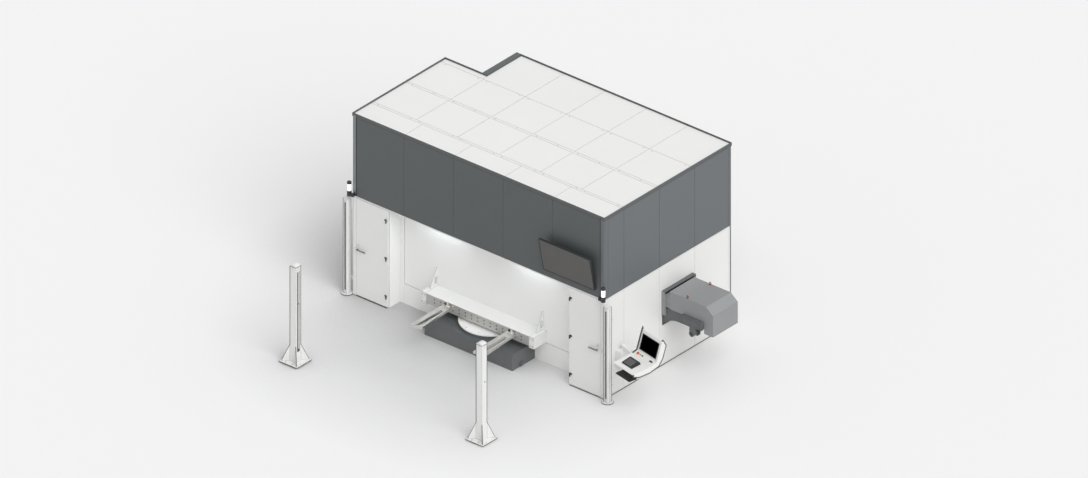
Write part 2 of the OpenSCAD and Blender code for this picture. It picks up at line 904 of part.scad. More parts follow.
// Dark windows of the light posts and the slanted mirrors inside the columns
module barrier_glass() {
    color(glass_dark) pair() {
        translate([light_x - 19, light_y - light_post_w / 2 + 14 - glass_t, 90]) {
            cube([38, glass_t, light_post_h - 180]);
        }
        translate([mirror_x, -mirror_y, hollow_z]) rotate([0, 0, -45]) {
            translate([-glass_w / 2, -glass_t / 2, 0]) cube([glass_w, glass_t, hollow_h]);
        }
    }
}

module levelling_screws() {
    color(steel) pair() translate([mirror_x, -mirror_y, 0]) {
        for (sx = [-1, 1]) {
            for (sy = [-1, 1]) {
                translate([sx * level_in, sy * level_out, 0]) {
                    cylinder(r = 16, h = foot_z - butt);
                    cylinder(r = level_r, h = column_z + 34);
                    translate([0, 0, column_z + butt]) cylinder(r = 11, h = 10, $fn = 6);
                }
            }
        }
    }
}

// Frame round the conveyor's way out and the neck to the hood, both open at the bottom
module conveyor_flange() {
    half = trough_w / 2 + 1;
    color(paint_hood) {
        along_x(x_side, flange_t) difference() {
            translate([flange_y0, flange_z0]) square([flange_y1 - flange_y0, flange_z1 - flange_z0]);
            translate([chute_y - half, flange_z0 - 1]) {
                square([2 * half, neck_top - chute_t - flange_z0 + 1]);
            }
        }
        along_x(x_side + flange_t - 1, neck_l + 1) difference() {
            translate([chute_y - half - chute_t, hood_skirt]) {
                square([2 * half + 2 * chute_t, neck_top - hood_skirt]);
            }
            translate([chute_y - half, hood_skirt - 1]) {
                square([2 * half, neck_top - chute_t - hood_skirt + 1]);
            }
        }
    }
}

// Trough that runs under the cutting station, rises and levels out at the head
module conveyor_trough() {
    half = trough_w / 2;
    side = concat(course(-chute_t), reversed(course(trough_h)));
    sole = concat(course(-chute_t), reversed(course(0)));
    color(paint_base) {
        difference() {
            for (y = [chute_y - half, chute_y + half - chute_t]) along_y(y, chute_t) polygon(side);
            translate([drum_x, chute_y - half - 1, drum_z]) rotate([-90, 0, 0]) {
                cylinder(r = journal_r + 0.5, h = trough_w + 2);
            }
        }
        along_y(chute_y - half, trough_w) polygon(sole);
        for (x = [tail_x + 200, (tail_x + rise_x) / 2, rise_x - 400]) {
            box(x - 40, x + 40, chute_y - half, chute_y + half, 0, trough_low - chute_t + 1);
        }
    }
}

// Endless belt on its upper and lower run, with cross cleats
module conveyor_belt() {
    width = trough_w - 2 * chute_t - 30;
    inner_low = belt_low + belt_t;
    inner_high = belt_high - belt_t;
    head = [drum_x, drum_z];
    tail = [tail_x + 100, trough_low + drum_h];
    loop_low = [for (p = course(belt_low)) if (p[0] > tail[0] && p[0] < head[0]) p];
    loop_high = [for (p = course(belt_high)) if (p[0] > tail[0] && p[0] < head[0]) p];
    hole_low = [for (p = course(inner_low)) if (p[0] > tail[0] && p[0] < head[0]) p];
    hole_high = [for (p = course(inner_high)) if (p[0] > tail[0] && p[0] < head[0]) p];
    r_out = drum_h - belt_low;
    r_in = r_out - belt_t;
    color(steel) {
        along_y(chute_y - width / 2, width) difference() {
            polygon(concat(loop_low, arc(head, r_out, -90, 90, 12), reversed(loop_high),
                arc(tail, r_out, 90, 270, 12)));
            polygon(concat(hole_low, arc(head, r_in, -90, 90, 12), reversed(hole_high),
                arc(tail, r_in, 90, 270, 12)));
        }
        for (x = [tail[0] + 50 : cleat_pitch : rise_x - cleat_pitch]) {
            box(x - 6, x + 6, chute_y - width / 2, chute_y + width / 2,
                trough_low + belt_high - 2, trough_low + belt_high + cleat_h);
        }
    }
}

// Folded hood over the discharge head, open below
module conveyor_hood() {
    chamfer_x = 170;
    chamfer_z = 140;
    t = chute_t;
    side = [
        [hood_x0, hood_skirt], [gear_x1, hood_skirt], [gear_x1, hood_low], [hood_x1, hood_low],
        [hood_x1, hood_top - chamfer_z], [hood_x1 - chamfer_x, hood_top], [hood_x0, hood_top]
    ];
    space = [
        [hood_x0 + t, hood_low - 1], [hood_x1 - t, hood_low - 1],
        [hood_x1 - t, hood_top - chamfer_z - t / 2], [hood_x1 - chamfer_x - t / 2, hood_top - t],
        [hood_x0 + t, hood_top - t]
    ];
    half = trough_w / 2 + 1;
    color(paint_hood) difference() {
        along_y(chute_y - hood_w / 2, hood_w) polygon(side);
        along_y(chute_y - hood_w / 2 + t, hood_w - 2 * t) polygon(space);
        box(hood_x0 - 1, hood_x0 + t + 1, chute_y - half, chute_y + half, hood_low, neck_top - t);
    }
}

// Cover of the chain drive, with the boss round the motor shaft
module conveyor_gear_cover() {
    y1 = chute_y - hood_w / 2;
    color(paint_base) difference() {
        along_y(y1 - 80, 80) {
            translate([(gear_x0 + gear_x1) / 2, (gear_low + gear_top) / 2]) {
                rounded_square(gear_x1 - gear_x0, gear_top - gear_low, 20);
            }
            translate([motor_x, motor_z]) circle(motor_r + 10);
            translate([motor_x - motor_r, motor_z]) square([2 * motor_r, gear_low - motor_z + 10]);
        }
        translate([motor_x, y1 - 81, motor_z]) rotate([-90, 0, 0]) cylinder(r = motor_r - 10, h = 30);
    }
}

module conveyor_motor() {
    y1 = chute_y - hood_w / 2;
    color(paint_grey) translate([motor_x, y1, motor_z]) rotate([-90, 0, 0]) {
        cylinder(r = motor_r, h = 30);
        translate([0, 0, 30]) cylinder(r = motor_r - 6, h = 130);
        translate([0, 0, 160]) cylinder(r = motor_r, h = 50);
    }
}

module conveyor_drum() {
    width = trough_w - 2 * chute_t - 40;
    color(steel) translate([drum_x, chute_y, drum_z]) rotate([-90, 0, 0]) {
        translate([0, 0, -width / 2]) cylinder(r = drum_r, h = width);
        translate([0, 0, -trough_w / 2 - 12]) cylinder(r = journal_r, h = trough_w + 24);
    }
}

module lifting_eyes() {
    color([0.75, 0.12, 0.10]) for (y = [-1, 1]) {
        translate([hood_x0 + 408, chute_y + y * (hood_w / 2 - 32), hood_top]) {
            cylinder(r = 18, h = 8);
            translate([0, 0, 8]) cylinder(r = 9, h = 10);
            translate([0, 0, 36]) rotate([90, 0, 0]) rotate_extrude() translate([18, 0]) circle(7);
        }
    }
}

// Fixed box on the right wall that carries the console arm
module console_wall_box() {
    color(paint_white) difference() {
        translate([(x_side + box_x1) / 2, arm_pivot_y, box_z0]) {
            linear_extrude(box_z1 - box_z0) rounded_square(box_x1 - x_side, box_w, 10);
        }
        translate([arm_pivot_x, arm_pivot_y, box_z1 - 72]) cylinder(r = swivel_r + pin_fit, h = 80);
    }
}

// Swinging arm: a pin into the wall box and a pin up into the console
module console_arm() {
    run = [console_x - arm_pivot_x, console_y - arm_pivot_y];
    color(paint_white) {
        translate([arm_pivot_x, arm_pivot_y, 0]) {
            translate([0, 0, box_z1 - 70]) cylinder(r = swivel_r, h = 100);
            translate([0, 0, box_z1 + 1]) cylinder(r = arm_hub_r, h = swivel_z0 - box_z1 - 1);
            rotate([0, 0, atan2(run[1], run[0])]) translate([0, -38, arm_low]) {
                cube([norm(run), 76, swivel_z0 - arm_low]);
            }
        }
        translate([console_x, console_y, 0]) {
            translate([0, 0, arm_low]) cylinder(r = arm_hub_r, h = swivel_z0 - arm_low);
            translate([0, 0, swivel_z0 - 10]) cylinder(r = swivel_r, h = 65);
        }
    }
}

module turntable_disc() {
    color(paint_white) {
        translate([0, 0, disc_z]) cylinder(r = disc_r, h = disc_t, $fn = 96);
        translate([0, 0, disc_z - 60]) cylinder(r = hub_r - 60, h = 61, $fn = 96);
    }
}

// Tubular frame of the turning partition, standing on the disc
module partition_frame() {
    half = tube_t / 2;
    color(paint_white) along_y(-half, tube_t) difference() {
        translate([-wall_half, wall_low]) square([2 * wall_half, wall_top - wall_low]);
        for (i = [-2 : 2]) {
            bay = (2 * wall_half - tube_t) / 5;
            translate([i * bay - bay / 2 + half, wall_low + tube_t]) {
                square([bay - tube_t, wall_top - wall_low - 2 * tube_t]);
            }
        }
    }
}

module partition_skins() {
    color(paint_white) stations() {
        translate([-wall_half, -wall_y, wall_low]) cube([2 * wall_half, skin_t, wall_top - wall_low]);
    }
}

// Fixture beams: channels open to the front under a deep shelf
module fixture_beams() {
    back = -wall_y;
    color(paint_white) stations() along_x(-beam_half + butt, 2 * beam_half - 2 * butt) {
        translate([-beam_reach, beam_top - beam_t]) square([beam_reach + back, beam_t]);
        translate([plate_t - plate_y, beam_low]) square([plate_y - plate_t + back, beam_t]);
        translate([back - beam_t, beam_low]) square([beam_t, beam_tall]);
    }
}

// Front plates with two rows of fixture holes
module hole_plates() {
    color(steel) stations() difference() {
        box(-beam_half + butt, beam_half - butt, -plate_y, plate_t - plate_y,
            plate_low, plate_low + plate_h);
        for (i = [0 : hole_count]) {
            x = (i - hole_count / 2) * hole_pitch;
            for (s = [-1, 1]) {
                translate([x, 1 - plate_y + plate_t, hole_z + s * hole_rows / 2]) {
                    rotate([90, 0, 0]) cylinder(r = hole_r, h = plate_t + 2);
                }
            }
        }
    }
}

// End brackets of the beams, each with a pierced gusset up the partition
module end_brackets() {
    x_gusset = beam_half + 25;
    lift = gusset_top - beam_top;
    color(paint_white) stations() pair() {
        box(beam_half, beam_half + end_w, -beam_reach, -wall_y, end_low, beam_top);
        difference() {
            along_x(x_gusset, gusset_t) polygon([
                [-wall_y, beam_top - 1], [-wall_y, gusset_top], [-wall_y - 30, gusset_top],
                [-wall_y - gusset_d, beam_top + 40], [-wall_y - gusset_d, beam_top - 1]
            ]);
            along_x(x_gusset - 1, gusset_t + 2) {
                for (z = [beam_top + lift * 0.22, beam_top + lift * 0.45]) {
                    translate([-wall_y - 70, z]) circle(32);
                }
                translate([-wall_y - 102, beam_top + lift * 0.22]) square([64, lift * 0.23]);
            }
        }
    }
}

// Places of the four fixture arms, two on each station
module at_arms() {
    stations() for (s = [-1, 1]) translate([arm_shift + s * arm_x, -arm_root, arm_z]) children();
}

// Slotted arm blades with slanted tips, on flanges bolted to the hole plates
module fixture_arms() {
    left = -arm_w / 2;
    slot_in = left + arm_rail;
    slot_out = slot_in + arm_slot;
    color(steel) at_arms() {
        linear_extrude(arm_h) difference() {
            polygon([
                [left, 0], [left, -arm_l], [slot_in, -arm_l + 28], [left + arm_w, -arm_l + 92],
                [left + arm_neck, -arm_root_l], [left + arm_neck, 0]
            ]);
            polygon([
                [slot_in, -arm_root_l], [slot_in, -arm_l + 48], [slot_out, -arm_l + 150],
                [slot_out, -arm_root_l]
            ]);
        }
        translate([left - 15, 0, -30]) {
            cube([arm_neck + 30, arm_flange_t, beam_top - beam_t - butt - arm_z + 30]);
        }
    }
}

module arm_knobs() {
    color(black) at_arms() translate([50 - arm_w / 2, -60, arm_h]) {
        cylinder(r = 10, h = 16);
        translate([0, 0, 16]) cylinder(r = 26, h = 26);
    }
}

// Right-hand cabinet door: a folded leaf with two stiffeners and the lever's rose
module door_leaf() {
    w = door_x1 - door_x0;
    h = door_top - door_lift;
    t = 2.5;
    translate([door_x0, y_front, door_lift]) {
        difference() {
            cube([w, door_t, h]);
            translate([t, t, t]) cube([w - 2 * t, door_t, h - 2 * t]);
            translate([lever_x - door_x0, -1, lever_z - door_lift]) rotate([-90, 0, 0]) {
                cylinder(r = spindle_r + 0.5, h = door_t);
            }
        }
        for (z = [h * 0.25, h * 0.75]) translate([t, t - 0.5, z]) cube([w - 2 * t, door_t - t - 4, 60]);
    }
    difference() {
        translate([lever_x, y_front, lever_z]) rotate([90, 0, 0]) cylinder(r = 26, h = 8);
        translate([lever_x, y_front + 5, lever_z]) rotate([90, 0, 0]) cylinder(r = spindle_r + 0.5, h = 20);
    }
}

// Door halves of the hinges
module door_knuckles() {
    for (z = HINGE_Z) {
        translate([0, 0, z + 0.5]) linear_extrude(knuckle_h / 2 - 0.5) difference() {
            union() {
                translate([hinge_x, hinge_y]) circle(knuckle_r);
                translate([hinge_x, y_front - 4]) square([46, 4]);
                translate([hinge_x, hinge_y]) square([knuckle_r, hinge_out - 1]);
            }
            translate([hinge_x, hinge_y]) circle(pin_r + pin_fit);
        }
    }
}

// Lever with its spindle through the door, pointing to the hinges
module door_lever() {
    translate([lever_x, y_front, lever_z]) {
        translate([0, 25, 0]) rotate([90, 0, 0]) cylinder(r = spindle_r, h = 65);
        translate([0, -34, 0]) rotate([90, 0, 0]) cylinder(r = 17, h = 24);
        translate([0, -58, 0]) rotate([-90, 0, 0]) linear_extrude(18) {
            translate([-lever_l, -11]) square([lever_l, 22]);
            translate([-lever_l, 0]) circle(11);
        }
    }
}

module right_door() {
    color(paint_white) door_leaf();
}

module left_door() {
    color(paint_white) mirror([1, 0, 0]) door_leaf();
}

module right_door_hinges() {
    color(black) door_knuckles();
}

module left_door_hinges() {
    color(black) mirror([1, 0, 0]) door_knuckles();
}

module right_lever() {
    color(black) door_lever();
}

module left_lever() {
    color(black) mirror([1, 0, 0]) door_lever();
}

// Bearing block round a rail, with the rail's running gap
module rail_block() {
    length = 110;
    difference() {
        translate([-length / 2, -45, block_gap]) cube([length, 90, block_h]);
        translate([-length / 2 - 1, -guide_w / 2 - guide_gap, 0]) {
            cube([length + 2, guide_w + 2 * guide_gap, guide_h + guide_gap]);
        }
    }
}

// Cross rails on the side of the bridge
function side_rail_z(i) = bridge_z + bridge_h * (i == 0 ? 0.18 : 0.82);

// Bridge girder with its bearing blocks and the rails on its side
module bridge() {
    color(paint_grey) {
        difference() {
            translate([bridge_x, bridge_y0, bridge_z + bridge_h / 2]) rotate([-90, 0, 0]) {
                linear_extrude(bridge_y1 - bridge_y0) rounded_square(bridge_w, bridge_h, 10);
            }
            translate([bridge_x, bridge_y0 - 1, bridge_z + bridge_h / 2]) rotate([-90, 0, 0]) {
                linear_extrude(bridge_y1 - bridge_y0 + 2) {
                    square([bridge_w - 2 * tube_wall, bridge_h - 2 * tube_wall], center = true);
                }
            }
        }
        for (y = [front_track_y, rear_track_y]) {
            for (s = [-1, 1]) translate([bridge_x + s * (bridge_w / 2 - 60), y, track_top]) rail_block();
        }
        for (i = [0, 1]) {
            z = side_rail_z(i);
            box(side_x - 1, side_x + guide_h, bridge_y0 + 20, bridge_y1 - 20,
                z - guide_w / 2, z + guide_w / 2);
        }
    }
}

// Carriage plate with blocks on the bridge rails and guides for the ram
module carriage() {
    color(paint_base) {
        box(plate_x, plate_x + carriage_t, carriage_y - carriage_w / 2, carriage_y + carriage_w / 2,
            ram_low + 15, bridge_top + 40);
        for (i = [0, 1]) {
            for (s = [-1, 1]) {
                translate([side_x, carriage_y + s * carriage_w / 3, side_rail_z(i)]) {
                    rotate([90, 0, 90]) carriage_block();
                }
            }
        }
        for (z = [ram_low + 70, bridge_top - 60]) {
            for (s = [-1, 1]) {
                translate([ram_face, carriage_y + s * ram_rail_y, z]) rotate([0, -90, 0]) guide_block();
            }
        }
    }
}

// Blocks between the bridge's side and the carriage plate
module carriage_block() {
    difference() {
        translate([-45, -45, block_gap]) cube([90, 90, plate_x - side_x - block_gap + 1]);
        translate([-46, -guide_w / 2 - guide_gap, 0]) {
            cube([92, guide_w + 2 * guide_gap, guide_h + guide_gap]);
        }
    }
}

// Blocks between the carriage plate and the ram
module guide_block() {
    depth = ram_face - plate_x - carriage_t;
    difference() {
        translate([-50, -24, block_gap]) cube([100, 48, depth - block_gap + 1]);
        translate([-51, -ram_rail_w / 2 - guide_gap, 0]) {
            cube([102, ram_rail_w + 2 * guide_gap, ram_rail_h + guide_gap]);
        }
    }
}

// Vertical ram with two rails on its inner face
module ram() {
    color(paint_white) {
        translate([ram_x, carriage_y, ram_low]) linear_extrude(ram_top - ram_low) {
            rounded_square(ram_w, ram_w, 10);
        }
        for (s = [-1, 1]) {
            y = carriage_y + s * ram_rail_y;
            box(ram_face - ram_rail_h, ram_face + 1, y - ram_rail_w / 2, y + ram_rail_w / 2,
                ram_low + 10, ram_top - 10);
        }
    }
}

// Turning wrist with the cheek that carries the tilting head
module wrist() {
    color(paint_base) translate([ram_x, carriage_y, 0]) {
        translate([0, 0, wrist_low]) cylinder(r = wrist_r, h = wrist_top - wrist_low);
        translate([0, cheek_y, 0]) along_y(0, 28) {
            translate([-45, tilt_z]) square([90, wrist_low - tilt_z + 2]);
            translate([0, tilt_z]) circle(45);
        }
    }
}

// Tilting cutting head: drum about the tilt axis, tapered optics and nozzle
module laser_head() {
    color(steel) translate([ram_x, carriage_y, tilt_z]) {
        rotate([90, 0, 0]) translate([0, 0, butt - cheek_y]) cylinder(r = 50, h = 90);
        translate([0, 6, 0]) rotate([180, 0, 0]) rotate_extrude() polygon([
            [0, 0], [34, 0], [34, nozzle_l * 0.58], [24, nozzle_l * 0.66], [24, nozzle_l * 0.8],
            [7, nozzle_l], [0, nozzle_l]
        ]);
    }
}

module at_console() {
    translate([console_x, console_y, 0]) rotate([0, 0, console_yaw]) {
        translate([0, screen_y, console_z]) children();
    }
}

module on_strip(x) {
    translate([x, strip_mid[0], strip_mid[1]]) rotate([strip_tilt, 0, 0]) children();
}

// Console body between two cheeks, with the swivel socket and the tray hangers
module console_shell() {
    color(paint_white) at_console() difference() {
        union() {
            along_x(-console_w / 2, console_w) polygon(CONSOLE_OUTLINE);
            for (x = [-console_w / 2 - cheek_t, console_w / 2]) along_x(x, cheek_t) polygon(CHEEK_OUTLINE);
            translate([0, -screen_y, swivel_z0 + 1 - console_z]) cylinder(r = 45, h = 110);
            for (s = [-1, 1]) {
                translate([s * (tray_w / 2 + 8), 0, 0]) {
                    box(-hanger_t / 2, hanger_t / 2, -470, -210, runner_z, -320);
                    box(s > 0 ? -18 : 0, s > 0 ? 0 : 18, -470, -210, runner_z, runner_z + hanger_t);
                }
            }
        }
        rotate([-screen_lean, 0, 0]) translate([-screen_w / 2 - 1, -8, -screen_h / 2 - 1]) {
            cube([screen_w + 2, 14, screen_h + 2]);
        }
        translate([0, -screen_y, swivel_z0 - console_z]) cylinder(r = swivel_r + pin_fit, h = 60);
        on_strip(estop_x) translate([0, 0, -24]) cylinder(r = stem_r + 0.5, h = 40);
    }
}

module console_screen() {
    color(glass_dark) at_console() rotate([-screen_lean, 0, 0]) {
        translate([-screen_w / 2, 1, -screen_h / 2]) cube([screen_w, 5, screen_h]);
    }
}

// Wedge keyboard on the desk
module console_keyboard() {
    color(glass_dark) at_console() translate([-50, desk_a[0], desk_a[1]]) rotate([desk_tilt, 0, 0]) {
        along_x(-150, 300) polygon([[-125, 0.2], [-125, 44], [-335, 16], [-335, 0.2]]);
    }
}

// Pull-out tray with its keyboard
module keyboard_tray() {
    color(black) at_console() translate([0, tray_y, tray_z - 3.5 - console_z]) {
        translate([-tray_w / 2, 0, 0]) cube([tray_w, tray_d, 8]);
        translate([-tray_w / 2 + 12, 20, 7]) cube([tray_w - 24, 150, 16]);
    }
}

module estop_button() {
    color([0.75, 0.08, 0.07]) at_console() on_strip(estop_x) {
        translate([0, 0, -14]) cylinder(r = stem_r, h = 30);
        translate([0, 0, 14]) cylinder(r = estop_r, h = 10);
        translate([0, 0, 24]) cylinder(r1 = estop_r, r2 = 13, h = 6);
    }
}

cabin_frame();
corner_posts();
upper_posts();
portal_frame();
axis_rails();
fascia_panels();
upper_panels();
lower_panels();
roof_panels();
roof_rim();
bay_walls();
bay_sill();
bay_soffit();
bay_lights();
door_hardware();
table_base();
slew_ring();
lamp_housings();
lamp_lenses();
display_bracket();
display_housing();
display_screen();
light_posts();
mirror_columns();
barrier_glass();
levelling_screws();
conveyor_flange();
conveyor_trough();
conveyor_belt();
conveyor_hood();
conveyor_gear_cover();
conveyor_motor();
conveyor_drum();
lifting_eyes();
console_wall_box();
console_arm();
turntable_disc();
partition_frame();
partition_skins();
fixture_beams();
hole_plates();
end_brackets();
fixture_arms();
arm_knobs();
left_door();
left_door_hinges();
left_lever();
right_door();
right_door_hinges();
right_lever();
bridge();
carriage();
ram();
wrist();
laser_head();
console_shell();
console_screen();
console_keyboard();
keyboard_tray();
estop_button();
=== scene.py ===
"""Looks of a laser cutting cell: paints, fittings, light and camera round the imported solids."""

import math

import bmesh
import bpy
from bpy.props import FloatProperty, FloatVectorProperty, IntProperty, PointerProperty
from mathutils import Matrix, Vector


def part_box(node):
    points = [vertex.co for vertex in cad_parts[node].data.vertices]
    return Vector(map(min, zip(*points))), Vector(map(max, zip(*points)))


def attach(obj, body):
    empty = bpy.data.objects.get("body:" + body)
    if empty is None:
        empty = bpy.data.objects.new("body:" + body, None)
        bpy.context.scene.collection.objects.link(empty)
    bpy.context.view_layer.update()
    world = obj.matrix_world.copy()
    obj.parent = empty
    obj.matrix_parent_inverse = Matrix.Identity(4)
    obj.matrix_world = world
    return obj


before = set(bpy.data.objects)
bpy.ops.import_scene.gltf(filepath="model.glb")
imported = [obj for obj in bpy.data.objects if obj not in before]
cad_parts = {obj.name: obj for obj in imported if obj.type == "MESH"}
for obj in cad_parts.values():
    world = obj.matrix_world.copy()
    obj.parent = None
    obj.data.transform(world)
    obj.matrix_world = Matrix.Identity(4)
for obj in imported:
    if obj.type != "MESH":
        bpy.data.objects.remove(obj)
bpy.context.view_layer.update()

bl_info = {
    "name": "Laser cutting cell",
    "version": (1, 0, 0),
    "blender": (4, 5, 0),
    "location": "View3D > Sidebar > Laser cell",
    "description": "Paints the solids of a laser cutting cell and adds its small fittings",
    "category": "Object",
}


def shift(x, y, z):
    return Matrix.Translation((x, y, z))


def turned(degrees, axis="Z"):
    return Matrix.Rotation(math.radians(degrees), 4, axis)


def sloped(rise, run):
    """Tilt about X of a face that climbs so far over a run."""
    return Matrix.Rotation(math.atan2(rise, run), 4, "X")


# Directions, and how closely a face has to look along one
UPWARD, FORWARD, BACKWARD, RIGHTWARD = Vector((0, 0, 1)), Vector((0, -1, 0)), Vector((0, 1, 0)), Vector((1, 0, 0))
FACING = 0.9

# Places that the solids give
ROOF_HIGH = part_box("roof_panels")[1]
HOOD_LOW, HOOD_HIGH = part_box("conveyor_hood")
FLANGE_LOW, FLANGE_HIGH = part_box("conveyor_flange")
GEAR_LOW, GEAR_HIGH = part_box("conveyor_gear_cover")
MOTOR_LOW, MOTOR_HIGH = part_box("conveyor_motor")
BASE_LOW, BASE_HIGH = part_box("table_base")
LENS_LOW, LENS_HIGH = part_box("lamp_lenses")
POST_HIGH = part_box("light_posts")[1]
HEAD_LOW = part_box("laser_head")[0]
CARRIAGE_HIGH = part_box("carriage")[1]
BRIDGE_LOW, BRIDGE_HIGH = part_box("bridge")

# Places inside those boxes: walls, seams, hinges, posts and columns
FRONT, SIDE, REAR = -0.38, 3.05, 3.29
SIDE_SEAMS, LEFT_SEAMS = (0.18, 1.20, 2.22), (0.18, 1.20)
REAR_SEAMS, FRONT_SEAMS = (-1, 0, 1, 2), (-1.8, -0.6, 0.6, 1.8)
ROOF_SEAMS, ROOF_MIDDLES = (0.185, 1.175, 2.125), (-2.5, -1.5, -0.5, 0.5, 1.5, 2.5)
WALL_LOW, WALL_HIGH, BAND_LOW, BAND_HIGH = 0.02, 2.105, 2.122, 3.84
HINGE_X, HINGE_Y, HINGE_Z = 2.22, -0.396, (0.2358, 1.0477, 1.8574)
LOCK_X, LOCK_Z = 2.896, 1.108
FLANGE_FACE = FLANGE_LOW.x + 0.080
PLATE_FACE = 0.23
NOZZLE = Vector((0.36, 0.994, HEAD_LOW.z))
POST_X, POST_Y, POST_HALF, POST_ROUND, POST_FOOT = 3.15, -0.41, 0.055, 0.010, 0.115
COLUMN_X, COLUMN_Y, COLUMN_HALF, COLUMN_ROUND = 2.25, -2.97, 0.0775, 0.014
FOOT_HALF, FOOT_ROUND = 0.22, 0.03
POSTS = [shift(x, POST_Y, 0) for x in (-POST_X, POST_X)]
COLUMNS = [shift(x, COLUMN_Y, 0) for x in (-COLUMN_X, COLUMN_X)]
HALF_TURNS = [turned(0), turned(180)]
CLAMP_ROOTS = [turn @ shift(x, -0.409, 0.67) for turn in HALF_TURNS for x in (-0.64, 0.90)]

# Console: its own upright axes, with the middle of the screen as origin, and the faces of its fittings
CONSOLE = shift(3.909, -0.228, 0) @ turned(-12.3) @ shift(0, 0.1, 1.36)
CHEEK_X = 0.298
CHEEK = [
    (0.058, 0.222), (0.086, 0.230), (0.152, 0.106), (0.074, -0.146), (-0.022, -0.284), (-0.238, -0.352),
    (-0.478, -0.361), (-0.612, -0.310), (-0.606, -0.266), (-0.170, -0.212), (-0.070, -0.178),
]
STRIP = CONSOLE @ shift(0, -0.111, -0.2075) @ sloped(0.041, 0.108)
SCREEN = CONSOLE @ turned(-16.9, "X")
DESK = CONSOLE @ shift(-0.05, -0.165, -0.228) @ sloped(0.052, 0.425)
DESK_KEYS = DESK @ shift(0, -0.335, 0.016) @ sloped(0.028, 0.210)
TRAY_KEYS = CONSOLE @ shift(0, -0.62, -0.4255)
DISPLAY = shift(2.23, -0.388, 2.29) @ turned(11.3, "X")


def tint(name, description, default):
    return FloatVectorProperty(
        name=name, description=description, subtype="COLOR", size=3, min=0, max=1, default=default,
    )


def length(name, description, low, high, default):
    return FloatProperty(name=name, description=description, unit="LENGTH", min=low, max=high, default=default)


def level(name, description, high, default):
    return FloatProperty(name=name, description=description, min=0, max=high, default=default)


def view_angle(name, description, degrees):
    return FloatProperty(name=name, description=description, subtype="ANGLE", default=math.radians(degrees))


class CellFinish(bpy.types.PropertyGroup):
    """Colours of the cell."""

    white: tint("White coat", "Lower walls, roof, bay and posts", (0.80, 0.80, 0.788))
    grey: tint("Grey coat", "Upper walls and front band", (0.092, 0.101, 0.104))
    side_grey: tint("Side grey coat", "Upper side and rear walls", (0.128, 0.140, 0.146))
    base: tint("Base coat", "Table base, conveyor and gantry castings", (0.118, 0.126, 0.129))
    hood: tint("Hood coat", "Hood over the conveyor's head", (0.275, 0.284, 0.288))
    steel: tint("Bright steel", "Fixture arms, rails and rods", (0.66, 0.65, 0.63))
    black: tint("Black plastic", "Hinges, knobs, lamp feet and trims", (0.018, 0.018, 0.019))
    screen: tint("Display face", "Face of the overhead display while it is off", (0.088, 0.086, 0.082))
    red: tint("Signal red", "Stop button and lifting eyes", (0.52, 0.022, 0.02))


class CellSizes(bpy.types.PropertyGroup):
    """Sizes of the small fittings."""

    seal_w: length("Seal width", "Width of the seals in the wall seams", 0.004, 0.0078, 0.0076)
    screw_r: length("Screw head", "Radius of a roof screw's head", 0.004, 0.02, 0.011)
    bolt_r: length("Bolt head", "Radius of a bolt's head", 0.004, 0.02, 0.010)
    key_gap: length("Key gap", "Gap between two keys", 0.001, 0.006, 0.003)
    trim_t: length("Edge trim", "Depth of the console's edge trim", 0.008, 0.03, 0.026)
    lens_rings: IntProperty(name="Lens rings", description="Ridges on a signal lamp", min=2, max=9, default=6)


class CellStage(bpy.types.PropertyGroup):
    """Light, floor and camera."""

    sky: level("Sky", "Strength of the even light", 2, 0.55)
    key: level("Key light", "Strength of the soft light from the right", 6, 1.75)
    rear: level("Rear light", "Strength of the soft light from above the rear", 6, 0.36)
    floor: level("Floor tone", "Tone of the lit floor", 1, 0.872)
    contact: level("Contact shade", "How much the floor darkens on the cell's shaded side", 1, 0.55)
    pool: level("Bay shade", "How much the floor darkens in front of the bay", 1, 0.13)
    span: length("View width", "Width of the parallel view", 5, 60, 1088 / 54)
    azimuth: view_angle("Azimuth", "View angle round the cell", 40)
    elevation: view_angle("Elevation", "View angle above the floor", 30)


# Modelling by hand


def rest():
    """Object mode with nothing selected."""
    if bpy.context.mode != "OBJECT":
        bpy.ops.object.mode_set(mode="OBJECT")
    bpy.ops.object.select_all(action="DESELECT")


def take(piece):
    rest()
    piece.select_set(True)
    bpy.context.view_layer.objects.active = piece


def named(name):
    piece = bpy.context.active_object
    piece.name = name
    piece.data.name = name
    return piece


def settle(piece):
    """Puts the piece's place, turn and scale into its mesh."""
    take(piece)
    bpy.ops.object.transform_apply(location=True, rotation=True, scale=True)
    return piece


def place(piece, where):
    piece.matrix_world = where
    return settle(piece)


def block(name, low, high):
    rest()
    low, high = Vector(low), Vector(high)
    bpy.ops.mesh.primitive_cube_add(size=1, location=(low + high) / 2)
    piece = named(name)
    piece.scale = high - low
    return settle(piece)


def slab(name, wide, deep, tall):
    """Block that stands on the origin."""
    return block(name, (-wide / 2, -deep / 2, 0), (wide / 2, deep / 2, tall))


def bar(name, foot, head, radius, sides=32):
    rest()
    foot, head = Vector(foot), Vector(head)
    run = head - foot
    bpy.ops.mesh.primitive_cylinder_add(
        vertices=sides, radius=radius, depth=run.length, location=(foot + head) / 2,
        rotation=run.to_track_quat("Z", "Y").to_euler(),
    )
    return settle(named(name))


def peg(name, radius, height, sides):
    """Upright bar that stands on the origin."""
    return bar(name, (0, 0, 0), (0, 0, height), radius, sides)


def ring(name, centre, radius, thick, sides=48):
    rest()
    bpy.ops.mesh.primitive_torus_add(
        location=centre, major_radius=radius, minor_radius=thick, major_segments=sides, minor_segments=10,
    )
    return settle(named(name))


